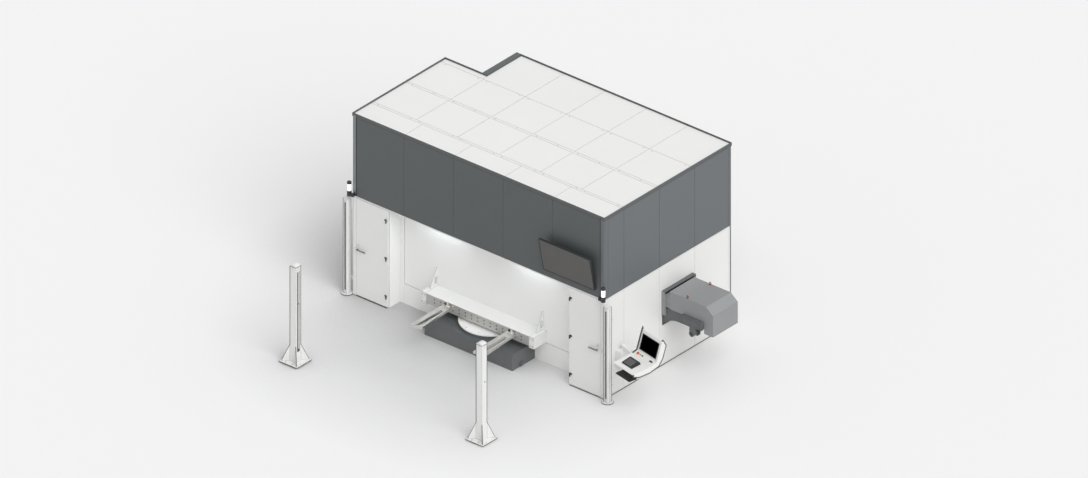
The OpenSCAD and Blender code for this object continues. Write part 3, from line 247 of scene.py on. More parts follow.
def choose(piece, test):
    """Edit mode with the faces selected whose normal passes the test."""
    take(piece)
    bpy.ops.object.mode_set(mode="EDIT")
    bpy.ops.mesh.select_mode(type="FACE")
    bpy.ops.mesh.select_all(action="DESELECT")
    mesh = bmesh.from_edit_mesh(piece.data)
    for face in mesh.faces:
        if test(face.normal):
            face.select_set(True)
    bmesh.update_edit_mesh(piece.data)


def pull(value):
    bpy.ops.mesh.extrude_region_move(TRANSFORM_OT_translate={"value": value})


def finish_edit():
    bpy.ops.object.mode_set(mode="OBJECT")


def round_edges(piece, width, steps=2, angle=35):
    take(piece)
    bevel = piece.modifiers.new("Rounded edges", "BEVEL")
    bevel.width = width
    bevel.segments = steps
    bevel.limit_method = "ANGLE"
    bevel.angle_limit = math.radians(angle)
    bpy.ops.object.modifier_apply(modifier=bevel.name)
    return piece


def worked(piece, towards, *cuts, both=False, edge=0.0, steps=2, angle=35):
    """Cuts the faces that look in a direction, or both ways along it, and rounds the piece's edges.

    A cut is the width and depth of an inset, and how far the inset face is then pulled, if it is.
    """
    choose(piece, lambda normal: (abs(normal.dot(towards)) if both else normal.dot(towards)) > FACING)
    for width, depth, *reach in cuts:
        bpy.ops.mesh.inset(thickness=width, depth=depth)
        for way in reach:
            pull(towards * way)
    finish_edit()
    return round_edges(piece, edge, steps, angle) if edge else piece


def thicken(piece, depth):
    take(piece)
    wall = piece.modifiers.new("Wall", "SOLIDIFY")
    wall.thickness = depth
    wall.offset = 0.0
    bpy.ops.object.modifier_apply(modifier=wall.name)
    return piece


def smooth(piece, angle=35):
    take(piece)
    bpy.ops.object.shade_smooth_by_angle(angle=math.radians(angle))
    return piece


def joined(name, parts):
    rest()
    for part in parts:
        part.select_set(True)
    bpy.context.view_layer.objects.active = parts[0]
    bpy.ops.object.join()
    return settle(named(name))


def copied(name, model, places):
    """One piece made of copies of a model, each with its own mesh; the model itself goes."""
    twins = []
    for where in places:
        twin = model.copy()
        twin.data = model.data.copy()
        bpy.context.collection.objects.link(twin)
        twin.matrix_world = where
        twins.append(twin)
    bpy.data.objects.remove(model)
    bpy.context.view_layer.update()
    return joined(name, twins)


def ribbon(name, path, across):
    """Strip of a given width that follows a path, extruded step by step from one edge."""
    rest()
    bpy.ops.mesh.primitive_plane_add(size=1)
    piece = named(name)
    bpy.ops.object.mode_set(mode="EDIT")
    bpy.ops.mesh.select_mode(type="VERT")
    bpy.ops.mesh.select_all(action="DESELECT")
    mesh = bmesh.from_edit_mesh(piece.data)
    for vert in mesh.verts:
        vert.select_set(vert.co.y > 0)
    bmesh.update_edit_mesh(piece.data)
    bpy.ops.mesh.delete(type="VERT")
    mesh = bmesh.from_edit_mesh(piece.data)
    for vert in mesh.verts:
        vert.co = path[0] + across * (0.5 if vert.co.x > 0 else -0.5)
    bmesh.update_edit_mesh(piece.data)
    bpy.ops.mesh.select_all(action="SELECT")
    for here, there in zip(path, path[1:]):
        pull(there - here)
    bpy.ops.mesh.select_all(action="SELECT")
    bpy.ops.mesh.remove_doubles(threshold=0.0002)
    bpy.ops.mesh.normals_make_consistent(inside=False)
    finish_edit()
    return piece


def bezel(name, wide, low, high, rim, depth, edge):
    """Flat frame in the plane of X and Z, which looks to the front."""
    rest()
    bpy.ops.mesh.primitive_plane_add(size=1, location=(0, 0, (low + high) / 2), rotation=(math.radians(90), 0, 0))
    piece = named(name)
    piece.scale = (wide, high - low, 1)
    settle(piece)
    choose(piece, lambda normal: True)
    bpy.ops.mesh.inset(thickness=rim)
    bpy.ops.mesh.delete(type="FACE")
    finish_edit()
    return round_edges(thicken(piece, depth), edge)


def at(point, towards=UPWARD):
    """Place of a fitting modelled along Z, with its head towards a direction."""
    return Matrix.Translation(point) @ towards.to_track_quat("Z", "Y").to_matrix().to_4x4()


def screw(name, radius, height):
    """Round head with a socket and a rounded rim, standing on the plane of Z 0."""
    head = peg(name, radius, height, 18)
    return smooth(worked(head, UPWARD, (radius * 0.5, 0, -height * 0.55), edge=height * 0.3, angle=50), 40)


def hex_bolt(name, radius, height):
    """Hexagon head on a washer."""
    foot = height * 0.25
    washer = peg(name, radius * 1.5, foot, 24)
    head = bar(name, (0, 0, foot), (0, 0, height), radius, 6)
    worked(head, UPWARD, (radius * 0.15, 0, height * 0.12))
    return smooth(joined(name, [washer, head]), 30)


def key_cap(name, wide, deep, tall):
    """Key with tapered sides and a shallow dish."""
    cap = slab(name, wide, deep, tall)
    choose(cap, lambda normal: normal.z > FACING)
    bpy.ops.transform.resize(value=(0.84, 0.80, 1))
    bpy.ops.mesh.inset(thickness=wide * 0.12, depth=-tall * 0.08)
    finish_edit()
    return cap


def servo(name, foot, along):
    """Servo motor on a square flange, with a square body and a smaller cap."""
    motor = worked(slab(name, 0.1, 0.1, 0.014), UPWARD, (0.006, 0, 0.13), (0.012, 0, 0.035), edge=0.004)
    return place(smooth(motor), at(foot, along))


def fitted(piece, body, finish, angle=35):
    """Shades a new piece, unless its angle is 0, paints it and fixes it to a body."""
    if angle:
        smooth(piece, angle)
    piece.data.materials.clear()
    piece.data.materials.append(FINISH[finish])
    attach(piece, body)


# Finishes

GROUPS = {}
FINISH = {}
COLOUR, VALUE, VECTOR = "NodeSocketColor", "NodeSocketFloat", "NodeSocketVector"
SURFACE = [("Colour", COLOUR), ("Roughness", VALUE), ("Normal", VECTOR)]
DUST = (0.33, 0.32, 0.30, 1)
DARK_RIM = (0.16, 0.165, 0.17, 1)


def group_shell(name, inputs, outputs):
    """New shader group with named sockets, its input node and its output node."""
    group = bpy.data.node_groups.new(name, "ShaderNodeTree")
    for label, kind, default in inputs:
        socket = group.interface.new_socket(label, in_out="INPUT", socket_type=kind)
        socket.default_value = default
    for label, kind in outputs:
        group.interface.new_socket(label, in_out="OUTPUT", socket_type=kind)
    return group, group.nodes.new("NodeGroupInput").outputs, group.nodes.new("NodeGroupOutput")


def wired(tree, kind, **values):
    """New node with the given settings."""
    node = tree.nodes.new(kind)
    for key, value in values.items():
        setattr(node, key, value)
    return node


def feed(tree, node, sources):
    """Gives a node's sockets their links and plain values."""
    for key, value in sources.items():
        if isinstance(value, bpy.types.NodeSocket):
            tree.links.new(value, node.inputs[key])
        else:
            node.inputs[key].default_value = value
    return node


def coordinates(tree):
    return wired(tree, "ShaderNodeTexCoord").outputs["Object"]


def noise(tree, scale, detail, vector):
    node = wired(tree, "ShaderNodeTexNoise")
    return feed(tree, node, {"Scale": scale, "Detail": detail, "Vector": vector}).outputs["Fac"]


def maths(tree, operation, a, b=0.0):
    return feed(tree, wired(tree, "ShaderNodeMath", operation=operation), {0: a, 1: b}).outputs[0]


def blended(tree, mode, factor, a, b):
    node = wired(tree, "ShaderNodeMix", data_type="RGBA", blend_type=mode)
    return feed(tree, node, {0: factor, 6: a, 7: b}).outputs[2]


def stretched(tree, value, low, high, to_low, to_high):
    node = wired(tree, "ShaderNodeMapRange")
    ends = {"From Min": low, "From Max": high, "To Min": to_low, "To Max": to_high}
    return feed(tree, node, {"Value": value, **ends}).outputs["Result"]


def bumped(tree, height, strength, distance):
    node = wired(tree, "ShaderNodeBump")
    return feed(tree, node, {"Height": height, "Strength": strength, "Distance": distance}).outputs["Normal"]


def greyed(tree, value):
    """Grey of a value."""
    return feed(tree, wired(tree, "ShaderNodeCombineColor"), {0: value, 1: value, 2: value}).outputs[0]


def swing(tree, value, share):
    """Share of a value's way from its middle, 0.5."""
    return maths(tree, "MULTIPLY", maths(tree, "SUBTRACT", value, 0.5), share)


def powder_group():
    """Powder coat: a faint cloud in the colour, and a fine orange peel in gloss and relief."""
    group, source, sink = group_shell(
        "Powder coat",
        [("Colour", COLOUR, (0.8, 0.8, 0.8, 1)), ("Cloud", VALUE, 0.05), ("Gloss", VALUE, 0.42), ("Peel", VALUE, 0.1)],
        SURFACE,
    )
    where = coordinates(group)
    cloud = noise(group, 0.9, 4, where)
    peel = noise(group, 260, 2, where)
    tone = greyed(group, maths(group, "ADD", swing(group, cloud, source["Cloud"]), 1.0))
    rough = maths(group, "ADD", source["Gloss"], swing(group, peel, 0.16))
    feed(group, sink, {
        "Colour": blended(group, "MULTIPLY", 1.0, source["Colour"], tone),
        "Roughness": maths(group, "ADD", rough, swing(group, cloud, 0.10)),
        "Normal": bumped(group, peel, source["Peel"], 0.0012),
    })
    return group


def edge_shade_group():
    """Mask of the outer edges, for painted shade: a dark line drawn along each edge."""
    group, source, sink = group_shell("Edge line", [("Width", VALUE, 0.008)], [("Mask", VALUE)])
    soft = feed(group, wired(group, "ShaderNodeBevel", samples=4), {"Radius": source["Width"]})
    plain = wired(group, "ShaderNodeNewGeometry").outputs["True Normal"]
    dot = wired(group, "ShaderNodeVectorMath", operation="DOT_PRODUCT")
    feed(group, dot, {0: soft.outputs["Normal"], 1: plain})
    mask = stretched(group, dot.outputs["Value"], 0.78, 0.985, 1.0, 0.0)
    broken = stretched(group, noise(group, 7, 3, coordinates(group)), 0.3, 0.6, 0.65, 1.0)
    feed(group, sink, {"Mask": maths(group, "MULTIPLY", mask, broken)})
    return group


def dust_group():
    """Mask of the dust that gathers near the floor."""
    group, source, sink = group_shell("Floor dust", [("Height", VALUE, 0.25)], [("Mask", VALUE)])
    where = coordinates(group)
    height = feed(group, wired(group, "ShaderNodeSeparateXYZ"), {0: where}).outputs["Z"]
    low = stretched(group, maths(group, "DIVIDE", height, source["Height"]), 0.0, 1.0, 1.0, 0.0)
    speck = stretched(group, noise(group, 11, 5, where), 0.35, 0.75, 0.3, 1.0)
    feed(group, sink, {"Mask": maths(group, "MULTIPLY", low, speck)})
    return group


def brushed_group():
    """Brushed metal: fine streaks along one direction in colour, gloss and relief."""
    group, source, sink = group_shell(
        "Brushed metal",
        [("Colour", COLOUR, (0.6, 0.6, 0.6, 1)), ("Streak", VECTOR, (900, 12, 900)), ("Gloss", VALUE, 0.28)],
        SURFACE,
    )
    where = coordinates(group)
    along = wired(group, "ShaderNodeVectorMath", operation="MULTIPLY")
    streak = noise(group, 1.0, 3, feed(group, along, {0: where, 1: source["Streak"]}).outputs["Vector"])
    stain = noise(group, 3.5, 4, where)
    dark = blended(group, "MULTIPLY", 1.0, source["Colour"], (0.78, 0.78, 0.79, 1))
    rough = maths(group, "ADD", source["Gloss"], maths(group, "MULTIPLY", streak, 0.12))
    feed(group, sink, {
        "Colour": blended(group, "MIX", stretched(group, streak, 0.3, 0.7, 0.0, 0.8), source["Colour"], dark),
        "Roughness": maths(group, "ADD", rough, maths(group, "MULTIPLY", stain, 0.08)),
        "Normal": bumped(group, streak, 0.08, 0.0006),
    })
    return group


def moulded_group():
    """Moulded plastic: fine leathery grain, with a paler bloom in patches."""
    group, source, sink = group_shell(
        "Moulded plastic",
        [("Colour", COLOUR, (0.03, 0.03, 0.03, 1)), ("Grain", VALUE, 700.0), ("Gloss", VALUE, 0.5)],
        SURFACE,
    )
    where = coordinates(group)
    grain = feed(group, wired(group, "ShaderNodeTexVoronoi"), {"Vector": where, "Scale": source["Grain"]})
    bloom = noise(group, 9, 4, where)
    pale = blended(group, "ADD", 1.0, source["Colour"], (0.012, 0.012, 0.012, 1))
    feed(group, sink, {
        "Colour": blended(group, "MIX", bloom, source["Colour"], pale),
        "Roughness": maths(group, "ADD", source["Gloss"], maths(group, "MULTIPLY", bloom, 0.12)),
        "Normal": bumped(group, grain.outputs["Distance"], 0.12, 0.0008),
    })
    return group


def started(name):
    material = bpy.data.materials.new(name)
    material.use_nodes = True
    return material, material.node_tree, material.node_tree.nodes["Principled BSDF"]


def group_node(tree, label, **values):
    return feed(tree, wired(tree, "ShaderNodeGroup", node_tree=GROUPS[label]), values).outputs


def times(colour, share):
    return [channel * share for channel in colour]


def full(colour, share=1.0):
    return (*times(colour, share), 1.0)


def edge_shaded(tree, shade, colour, width, line, share):
    """Colour with painted shade along the outer edges, which darkens them to a share of the colour."""
    edge = group_node(tree, "edge", Width=width)["Mask"]
    return blended(tree, "MIX", maths(tree, "MULTIPLY", edge, line), shade, full(colour, share))


def coated(name, colour, line, dust=0.0, gloss=0.42, cloud=0.05, width=0.008):
    """Powder-coated sheet with painted shade darkening its edges, and a little dust near the floor."""
    material, tree, shader = started(name)
    coat = group_node(tree, "powder", Colour=full(colour), Gloss=gloss, Cloud=cloud)
    shade = edge_shaded(tree, coat["Colour"], colour, width, line, 0.30)
    if dust:
        low = group_node(tree, "dust", Height=0.3)["Mask"]
        shade = blended(tree, "MIX", maths(tree, "MULTIPLY", low, dust), shade, DUST)
    feed(tree, shader, {"Base Color": shade, "Roughness": coat["Roughness"], "Normal": coat["Normal"],
                        "Specular IOR Level": 0.4})
    return material


def metal(name, colour, streak, gloss=0.28, line=0.0):
    """Brushed metal, with painted shade darkening its edges if a line is asked for."""
    material, tree, shader = started(name)
    brushed = group_node(tree, "brushed", Colour=full(colour), Streak=streak, Gloss=gloss)
    shade = brushed["Colour"]
    if line:
        shade = edge_shaded(tree, shade, colour, 0.005, line, 0.35)
    feed(tree, shader, {"Base Color": shade, "Roughness": brushed["Roughness"], "Normal": brushed["Normal"],
                        "Metallic": 1.0})
    return material


def plastic(name, colour, gloss=0.5, grain=700.0):
    material, tree, shader = started(name)
    moulded = group_node(tree, "moulded", Colour=full(colour), Gloss=gloss, Grain=grain)
    feed(tree, shader, {"Base Color": moulded["Colour"], "Roughness": moulded["Roughness"],
                        "Normal": moulded["Normal"]})
    return material


def lit(name, colour, strength, rim=0.0):
    """Lit lens: uneven, as over single light sources behind it, and dimmer towards its rim."""
    material, tree, shader = started(name)
    where = coordinates(tree)
    uneven = stretched(tree, noise(tree, 14, 2, where), 0.2, 0.8, 0.86, 1.0)
    glow = blended(tree, "MIX", uneven, full(colour, 0.8), full(colour))
    facing = wired(tree, "ShaderNodeLayerWeight").outputs["Facing"]
    glow = blended(tree, "MIX", stretched(tree, facing, 0.42, 0.72, 0.0, rim), glow, DARK_RIM)
    rough = stretched(tree, noise(tree, 60, 2, where), 0.2, 0.8, 0.18, 0.34)
    feed(tree, shader, {"Base Color": glow, "Emission Color": glow, "Roughness": rough, "Emission Strength": strength})
    return material


def panel_glass(name, colour, gloss, mirror=0.5):
    """Face of a screen that is off: dark, with faint wiping marks in its gloss."""
    material, tree, shader = started(name)
    wiped = noise(tree, 5, 5, coordinates(tree))
    feed(tree, shader, {
        "Base Color": blended(tree, "MIX", wiped, full(colour, 0.9), full(colour, 1.08)),
        "Roughness": stretched(tree, wiped, 0.3, 0.7, gloss - 0.06, gloss + 0.08),
        "Specular IOR Level": mirror,
    })
    return material


COATS = {
    "white": ["cabin_frame", "fixture_beams", "corner_posts", "door_hardware", "lower_panels", "roof_panels",
              "console_wall_box", "console_arm", "left_door", "right_door", "ram", "console_shell"],
    "bay_white": ["bay_walls", "bay_sill", "bay_soffit", "partition_frame", "partition_skins", "turntable_disc"],
    "post_white": ["light_posts", "mirror_columns", "end_brackets"],
    "grey": ["portal_frame", "fascia_panels", "roof_rim", "bridge", "conveyor_motor"],
    "side_grey": ["upper_posts", "upper_panels"],
    "base": ["table_base", "conveyor_trough", "conveyor_gear_cover", "carriage", "wrist"],
    "hood": ["conveyor_flange", "conveyor_hood"],
    "rail": ["axis_rails", "slew_ring", "levelling_screws", "conveyor_drum"],
    "belt": ["conveyor_belt"],
    "drilled": ["hole_plates"],
    "nickel": ["fixture_arms"],
    "satin": ["left_lever", "right_lever"],
    "head_steel": ["laser_head"],
    "black": ["lamp_housings", "display_bracket", "display_housing", "arm_knobs",
              "left_door_hinges", "right_door_hinges", "keyboard_tray"],
    "keyboard": ["console_keyboard"],
    "display": ["display_screen"],
    "dark_glass": ["barrier_glass"],
    "screen": ["console_screen"],
    "lens": ["lamp_lenses"],
    "led": ["bay_lights"],
    "enamel": ["lifting_eyes"],
    "stop_red": ["estop_button"],
}


class CELL_OT_coat(bpy.types.Operator):
    """Makes the finishes and paints every solid of the cell"""

    bl_idname = "laser_cell.coat"
    bl_label = "Paint the solids"

    def execute(self, context):
        tone = context.scene.cell_finish
        GROUPS.update(powder=powder_group(), edge=edge_shade_group(), dust=dust_group(), brushed=brushed_group(),
                      moulded=moulded_group())
        FINISH.update(
            white=coated("white_coat", tone.white, 0.42, 0.10),
            # bay_white: the white coat painted 9% lighter, capped at 0.9, as painted light on the shaded bay walls,
            # sill, soffit, partition and disc
            bay_white=coated("bay_white_coat", [min(c, 0.9) for c in times(tone.white, 1.09)], 0.42, 0.05),
            # post_white: heavier and wider painted shade lines along the edges of the posts, columns and brackets
            post_white=coated("post_white_coat", tone.white, 1.0, 0.10, width=0.015),
            grey=coated("grey_coat", tone.grey, 0.55, 0.0, 0.46, 0.12),
            side_grey=coated("side_grey_coat", tone.side_grey, 0.55, 0.0, 0.46, 0.12),
            cover=coated("corner_cover_coat", times(tone.side_grey, 1.75), 0.4, 0.0, 0.4, 0.08),
            seal=plastic("wall_seal", times(tone.white, 0.88), 0.7, 300.0),
            grey_seal=plastic("grey_wall_seal", times(tone.side_grey, 0.85), 0.7, 300.0),
            base=coated("base_coat", tone.base, 0.40, 0.12, 0.48, 0.14),
            hood=coated("hood_coat", tone.hood, 0.45, 0.0, 0.45, 0.10),
            rail=metal("ground_steel", times(tone.steel, 0.9), (12, 900, 900), 0.3),
            belt=metal("galvanised_belt", times(tone.steel, 0.7), (40, 9, 40), 0.45),
            drilled=metal("zinc_plate", times(tone.steel, 0.92), (9, 500, 500), 0.42, 0.5),
            # nickel: strong painted shade lines along the edges of the fixture arms
            nickel=metal("bright_nickel", times(tone.steel, 1.14), (700, 9, 700), 0.22, 0.85),
            satin=metal("satin_steel", times(tone.steel, 0.42), (300, 300, 9), 0.34, 0.3),
            head_steel=metal("turned_steel", tone.steel, (500, 500, 20), 0.26),
            black=plastic("black_plastic", tone.black, 0.48),
            rubber=plastic("black_rubber", times(tone.black, 0.8), 0.72, 400.0),
            keyboard=plastic("keyboard_grey", (0.012, 0.012, 0.013), 0.6),
            keys=plastic("key_grey", (0.125, 0.127, 0.13), 0.55),
            dark_keys=plastic("key_black", (0.022, 0.022, 0.023), 0.55),
            trim=plastic("trim_grey", (0.05, 0.052, 0.055), 0.55),
            display=panel_glass("display_face", tone.screen, 0.42),
            dark_glass=panel_glass("barrier_window", (0.13, 0.134, 0.138), 0.2),
            screen=panel_glass("console_glass", (0.0008, 0.0008, 0.0008), 0.3, 0.0),
            lens=lit("lamp_lens", (0.94, 0.96, 1.0), 0.9, 0.9),
            led=lit("bay_light", (0.88, 0.96, 1.0), 11.0),
            enamel=coated("red_enamel", times(tone.red, 0.6), 0.2, 0.0, 0.3),
            stop_red=plastic("stop_red", tone.red, 0.3, 1500.0),
            yellow=plastic("collar_yellow", (0.80, 0.50, 0.02), 0.35, 1500.0),
            green=plastic("start_green", (0.03, 0.30, 0.08), 0.3, 1500.0),
            copper=metal("copper_nozzle", (0.72, 0.36, 0.22), (400, 400, 20), 0.25),
        )
        for key, nodes in COATS.items():
            for node in nodes:
                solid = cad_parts[node]
                if not solid.material_slots:
                    solid.data.materials.append(FINISH[key])
                for slot in solid.material_slots:
                    slot.material = FINISH[key]
        return {"FINISHED"}


class CELL_OT_roof_screws(bpy.types.Operator):
    """Rows of screws along the roof's seams"""

    bl_idname = "laser_cell.roof_screws"
    bl_label = "Roof screws"

    def execute(self, context):
        radius = context.scene.cell_sizes.screw_r
        head = screw("roof_screw", radius, radius * 0.55)
        places = [at((middle + side, y, ROOF_HIGH.z)) for row, y in enumerate(ROOF_SEAMS)
                  for middle in ROOF_MIDDLES for side in (-0.4, 0.12 if row % 2 else 0.4)]
        fitted(copied("roof_screws", head, places), "cabin", "rail", 0)
        return {"FINISHED"}


class CELL_OT_band(bpy.types.Operator):
    """White drip edge round the cabin, between its grey and its white walls"""

    bl_idname = "laser_cell.band"
    bl_label = "Drip edge"

    def execute(self, context):
        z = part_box("fascia_panels")[0].z
        path = [Vector((x, y, z)) for x, y in ((-SIDE, 2.3), (-SIDE, FRONT), (SIDE, FRONT), (SIDE, 3.2))]
        edge = thicken(ribbon("drip_edge", path, UPWARD * 0.012), 0.032)
        fitted(worked(edge, UPWARD, (0.003, 0.001), edge=0.0015), "cabin", "white")
        return {"FINISHED"}


class CELL_OT_seals(bpy.types.Operator):
    """Seals in the wall seams and along the floor, and the corner cover"""

    bl_idname = "laser_cell.seals"
    bl_label = "Wall seals"

    def strip(self, name, wide, low, high):
        """Upright seal with a hollow face, which looks to the front."""
        piece = block(name, (-wide / 2, -0.002, low), (wide / 2, 0.002, high))
        return worked(piece, FORWARD, (wide * 0.25, 0, -0.0008), edge=wide * 0.08, steps=1)

    def skirt(self, name, run):
        """Low strip along the floor."""
        strip = ribbon(name, [Vector((x, y, 0.005)) for x, y in run], UPWARD * 0.009)
        return thicken(strip, 0.006)

    def execute(self, context):
        wide = context.scene.cell_sizes.seal_w
        sunk = 0.0045
        right = [shift(SIDE - sunk, y, 0) @ turned(90) for y in SIDE_SEAMS]
        left = [shift(sunk - SIDE, y, 0) @ turned(-90) for y in LEFT_SEAMS]
        rear = [shift(x, REAR - sunk, 0) @ turned(180) for x in REAR_SEAMS]
        front = [shift(x, FRONT + sunk, 0) for x in FRONT_SEAMS]
        lower = self.strip("lower_seal", wide, 0.025, WALL_HIGH)
        fitted(copied("lower_seals", lower, right + left + rear), "cabin", "seal", 0)
        upper = self.strip("upper_seal", wide, 2.125, 3.79)
        fitted(copied("upper_seals", upper, right + left + rear + front), "cabin", "grey_seal", 0)

        edge = self.strip("corner_seal", 0.014, BAND_LOW, BAND_HIGH)
        places = [shift(x, FRONT, 0) for x in (-2.948, 2.948)]
        fitted(copied("corner_seals", edge, places), "cabin", "rubber", 0)
        line = self.strip("rear_corner_seal", 0.026, WALL_LOW, WALL_HIGH)
        fitted(place(line, shift(SIDE, 3.246, 0) @ turned(90)), "cabin", "trim", 0)
        cover = self.strip("corner_cover", 0.050, BAND_LOW, BAND_HIGH)
        fitted(place(cover, shift(-2.988, FRONT, 0)), "cabin", "cover", 0)

        # Black skirt along the wall foot: a floor seal, and painted shade for the shade line at the foot of the walls
        bend = ((SIDE - 0.04, FRONT), (SIDE - 0.012, FRONT + 0.012), (SIDE, FRONT + 0.04))
        mirrored = tuple((-x, y) for x, y in reversed(bend))
        skirts = joined("floor_seals_and_shade_line", [
            self.skirt("skirt_a", ((-SIDE, 2.24), *mirrored, (-2.20, FRONT))),
            self.skirt("skirt_b", ((2.20, FRONT), *bend, (SIDE, REAR - 0.04))),
        ])
        fitted(round_edges(skirts, 0.001, 1), "cabin", "rubber")
        return {"FINISHED"}


class CELL_OT_door_locks(bpy.types.Operator):
    """Backplates and lock barrels at the door levers, and sleeves round the hinges"""

    bl_idname = "laser_cell.door_locks"
    bl_label = "Door locks"

    def execute(self, context):
        for body, x in (("left_door", -LOCK_X), ("right_door", LOCK_X)):
            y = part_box(body)[0].y
            shield = block(body + "_backplate", (x - 0.021, y - 0.003, 0.985), (x + 0.021, y + 0.001, 1.145))
            worked(shield, FORWARD, (0.004, 0, 0.0015), edge=0.0012)
            barrel = bar(body + "_lock", (x, y - 0.018, LOCK_Z), (x, y - 0.002, LOCK_Z), 0.013)
            worked(barrel, FORWARD, (0.003, 0, -0.004), edge=0.001, angle=50)
            fitted(shield, body, "white")
            fitted(barrel, body, "rail")

        sleeve = bar("hinge_sleeve", (0, 0, 0.002), (0, 0, 0.034), 0.0158, 36)
        worked(sleeve, UPWARD, (0.003, 0.001), both=True, edge=0.0012, angle=40)
        places = []
        for body in ("left_door_hinges", "right_door_hinges"):
            x = math.copysign(HINGE_X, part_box(body)[0].x)
            places += [shift(x, HINGE_Y, z - 0.036) for z in HINGE_Z]
        fitted(copied("hinge_sleeves", sleeve, places), "cabin", "black")
        return {"FINISHED"}


class CELL_OT_display(bpy.types.Operator):
    """Bezel and rear cover of the overhead display"""

    bl_idname = "laser_cell.display"
    bl_label = "Display fittings"

    def execute(self, context):
        face = bezel("display_bezel", 1.24, 0.0, 0.724, 0.013, 0.004, 0.0012)
        place(face, DISPLAY @ shift(0, -0.0425, 0))
        cover = block("display_back", (-0.27, 0.0005, 0.27), (0.27, 0.040, 0.60))
        place(worked(cover, BACKWARD, (0.03, 0.012), (0.02, 0, -0.006), edge=0.004), DISPLAY)
        slat = round_edges(block("display_slat", (-0.19, 0.044, -0.004), (0.19, 0.050, 0.004)), 0.0015)
        slats = copied("display_vents", slat, [DISPLAY @ shift(0, 0, 0.35 + 0.022 * i) for i in range(9)])
        for piece in (face, cover, slats):
            fitted(piece, "cabin", "black")
        return {"FINISHED"}


class CELL_OT_lamps(bpy.types.Operator):
    """Ridges and collars of the signal lamps"""

    bl_idname = "laser_cell.lamps"
    bl_label = "Lamp ridges"

    def execute(self, context):
        count = context.scene.cell_sizes.lens_rings
        x = LENS_HIGH.x - 0.04
        y = (LENS_LOW.y + LENS_HIGH.y) / 2
        step = (LENS_HIGH.z - LENS_LOW.z) / (count + 1)
        feet = [shift(side * x, y, LENS_LOW.z) for side in (-1, 1)]
        ridge = ring("lamp_ridge", (0, 0, 0), 0.0395, 0.0022)
        places = [foot @ shift(0, 0, step * (i + 1)) for foot in feet for i in range(count)]
        fitted(copied("lamp_ridges", ridge, places), "cabin", "lens")
        collar = worked(peg("lamp_collar", 0.0425, 0.040, 40), UPWARD, (0.002, 0.001), edge=0.002, angle=40)
        fitted(copied("lamp_collars", collar, feet), "cabin", "black")
        return {"FINISHED"}


class CELL_OT_console(bpy.types.Operator):
    """Edge trims, bezel, buttons and port cover of the console"""

    bl_idname = "laser_cell.console"
    bl_label = "Console fittings"

    def fit(self, piece, where, finish, slot="black_plastic"):
        fitted(place(piece, where), "console", finish)

    def execute(self, context):
        thick = context.scene.cell_sizes.trim_t
        edges = (("left_cheek_trim", -CHEEK_X, CHEEK[-2:] + CHEEK[:2]), ("right_cheek_trim", CHEEK_X, CHEEK[:9]))
        for label, x, line in edges:
            trim = ribbon(label, [Vector((x, y, z)) for y, z in line], RIGHTWARD * 0.022)
            self.fit(round_edges(thicken(trim, thick), thick * 0.2), CONSOLE, "trim")
        face = bezel("screen_bezel", 0.498, -0.159, 0.159, 0.014, 0.005, 0.0015)
        self.fit(face, SCREEN @ shift(0, -0.0045, 0), "black")

        collar = worked(peg("stop_collar", 0.033, 0.005, 48), UPWARD, (0.020, 0, -0.003), edge=0.001, angle=50)
        self.fit(collar, STRIP @ shift(-0.2, 0, 0), "yellow", "red_plastic")
        start = STRIP @ shift(-0.135, 0.004, 0)
        cap = worked(peg("start_button", 0.013, 0.010, 36), UPWARD, (0.003, 0.003), edge=0.001, angle=50)
        self.fit(cap, start, "green", "red_plastic")
        self.fit(ring("start_rim", (0, 0, 0.003), 0.0155, 0.003), start, "nickel", "steel")

        knob = peg("mode_switch", 0.016, 0.006, 36)
        choose(knob, lambda normal: normal.z > FACING)
        bpy.ops.mesh.inset(thickness=0.005)
        bpy.ops.transform.resize(value=(0.55, 1.3, 1))
        pull((0, 0, 0.012))
        finish_edit()
        self.fit(round_edges(knob, 0.0012, 2, 40), STRIP @ shift(-0.075, 0.004, 0), "black")

        port = worked(slab("port_cover", 0.084, 0.034, 0.008), UPWARD, (0.004, 0, -0.003), edge=0.0015)
        self.fit(port, STRIP @ shift(0.185, 0, 0), "black")
        beacon = peg("cheek_beacon", 0.012, 0.030, 32)
        worked(beacon, UPWARD, (0.002, -0.003, 0.014), edge=0.003, steps=3, angle=40)
        self.fit(beacon, CONSOLE @ shift(-CHEEK_X, 0.072, 0.228), "black")
        sleeve = bar("swivel_collar", (0, -0.1, -0.355), (0, -0.1, -0.330), 0.052, 40)
        self.fit(worked(sleeve, UPWARD, (0.004, 0.003), both=True, edge=0.0015, angle=40), CONSOLE, "trim")
        return {"FINISHED"}


class CELL_OT_keys(bpy.types.Operator):
    """Keys on the desk keypad and on the pull-out keyboard"""

    bl_idname = "laser_cell.keys"
    bl_label = "Keys"

    def execute(self, context):
        gap = context.scene.cell_sizes.key_gap
        pitch = 0.0225
        cap = key_cap("desk_key", pitch - gap, pitch - gap, 0.007)
        places = [DESK_KEYS @ shift((column - 4.6) * pitch, 0.032 + row * pitch, 0)
                  for row in range(7) for column in range(9)]
        fitted(copied("desk_keys", cap, places), "console", "keys")
        wheel = worked(peg("desk_wheel", 0.019, 0.010, 40), UPWARD, (0.004, -0.002), edge=0.0015, angle=40)
        fitted(place(wheel, DESK_KEYS @ shift(0.125, 0.09, 0)), "console", "black")

        pitch, tall, first = 0.0255, 0.006, 0.022
        cap = key_cap("tray_key", pitch - gap, pitch - gap, tall)
        places = [TRAY_KEYS @ shift((column - 7.1 + 0.25 * (row % 2)) * pitch, first + row * pitch, 0)
                  for row in range(5) for column in range(15) if row or not 4 <= column <= 8]
        keys = copied("tray_key_rows", cap, places)
        space = key_cap("tray_space", pitch * 5 - gap, pitch - gap, tall)
        place(space, TRAY_KEYS @ shift(-1.1 * pitch, first, 0))
        fitted(joined("tray_keys", [keys, space]), "keyboard_tray", "dark_keys")
        return {"FINISHED"}


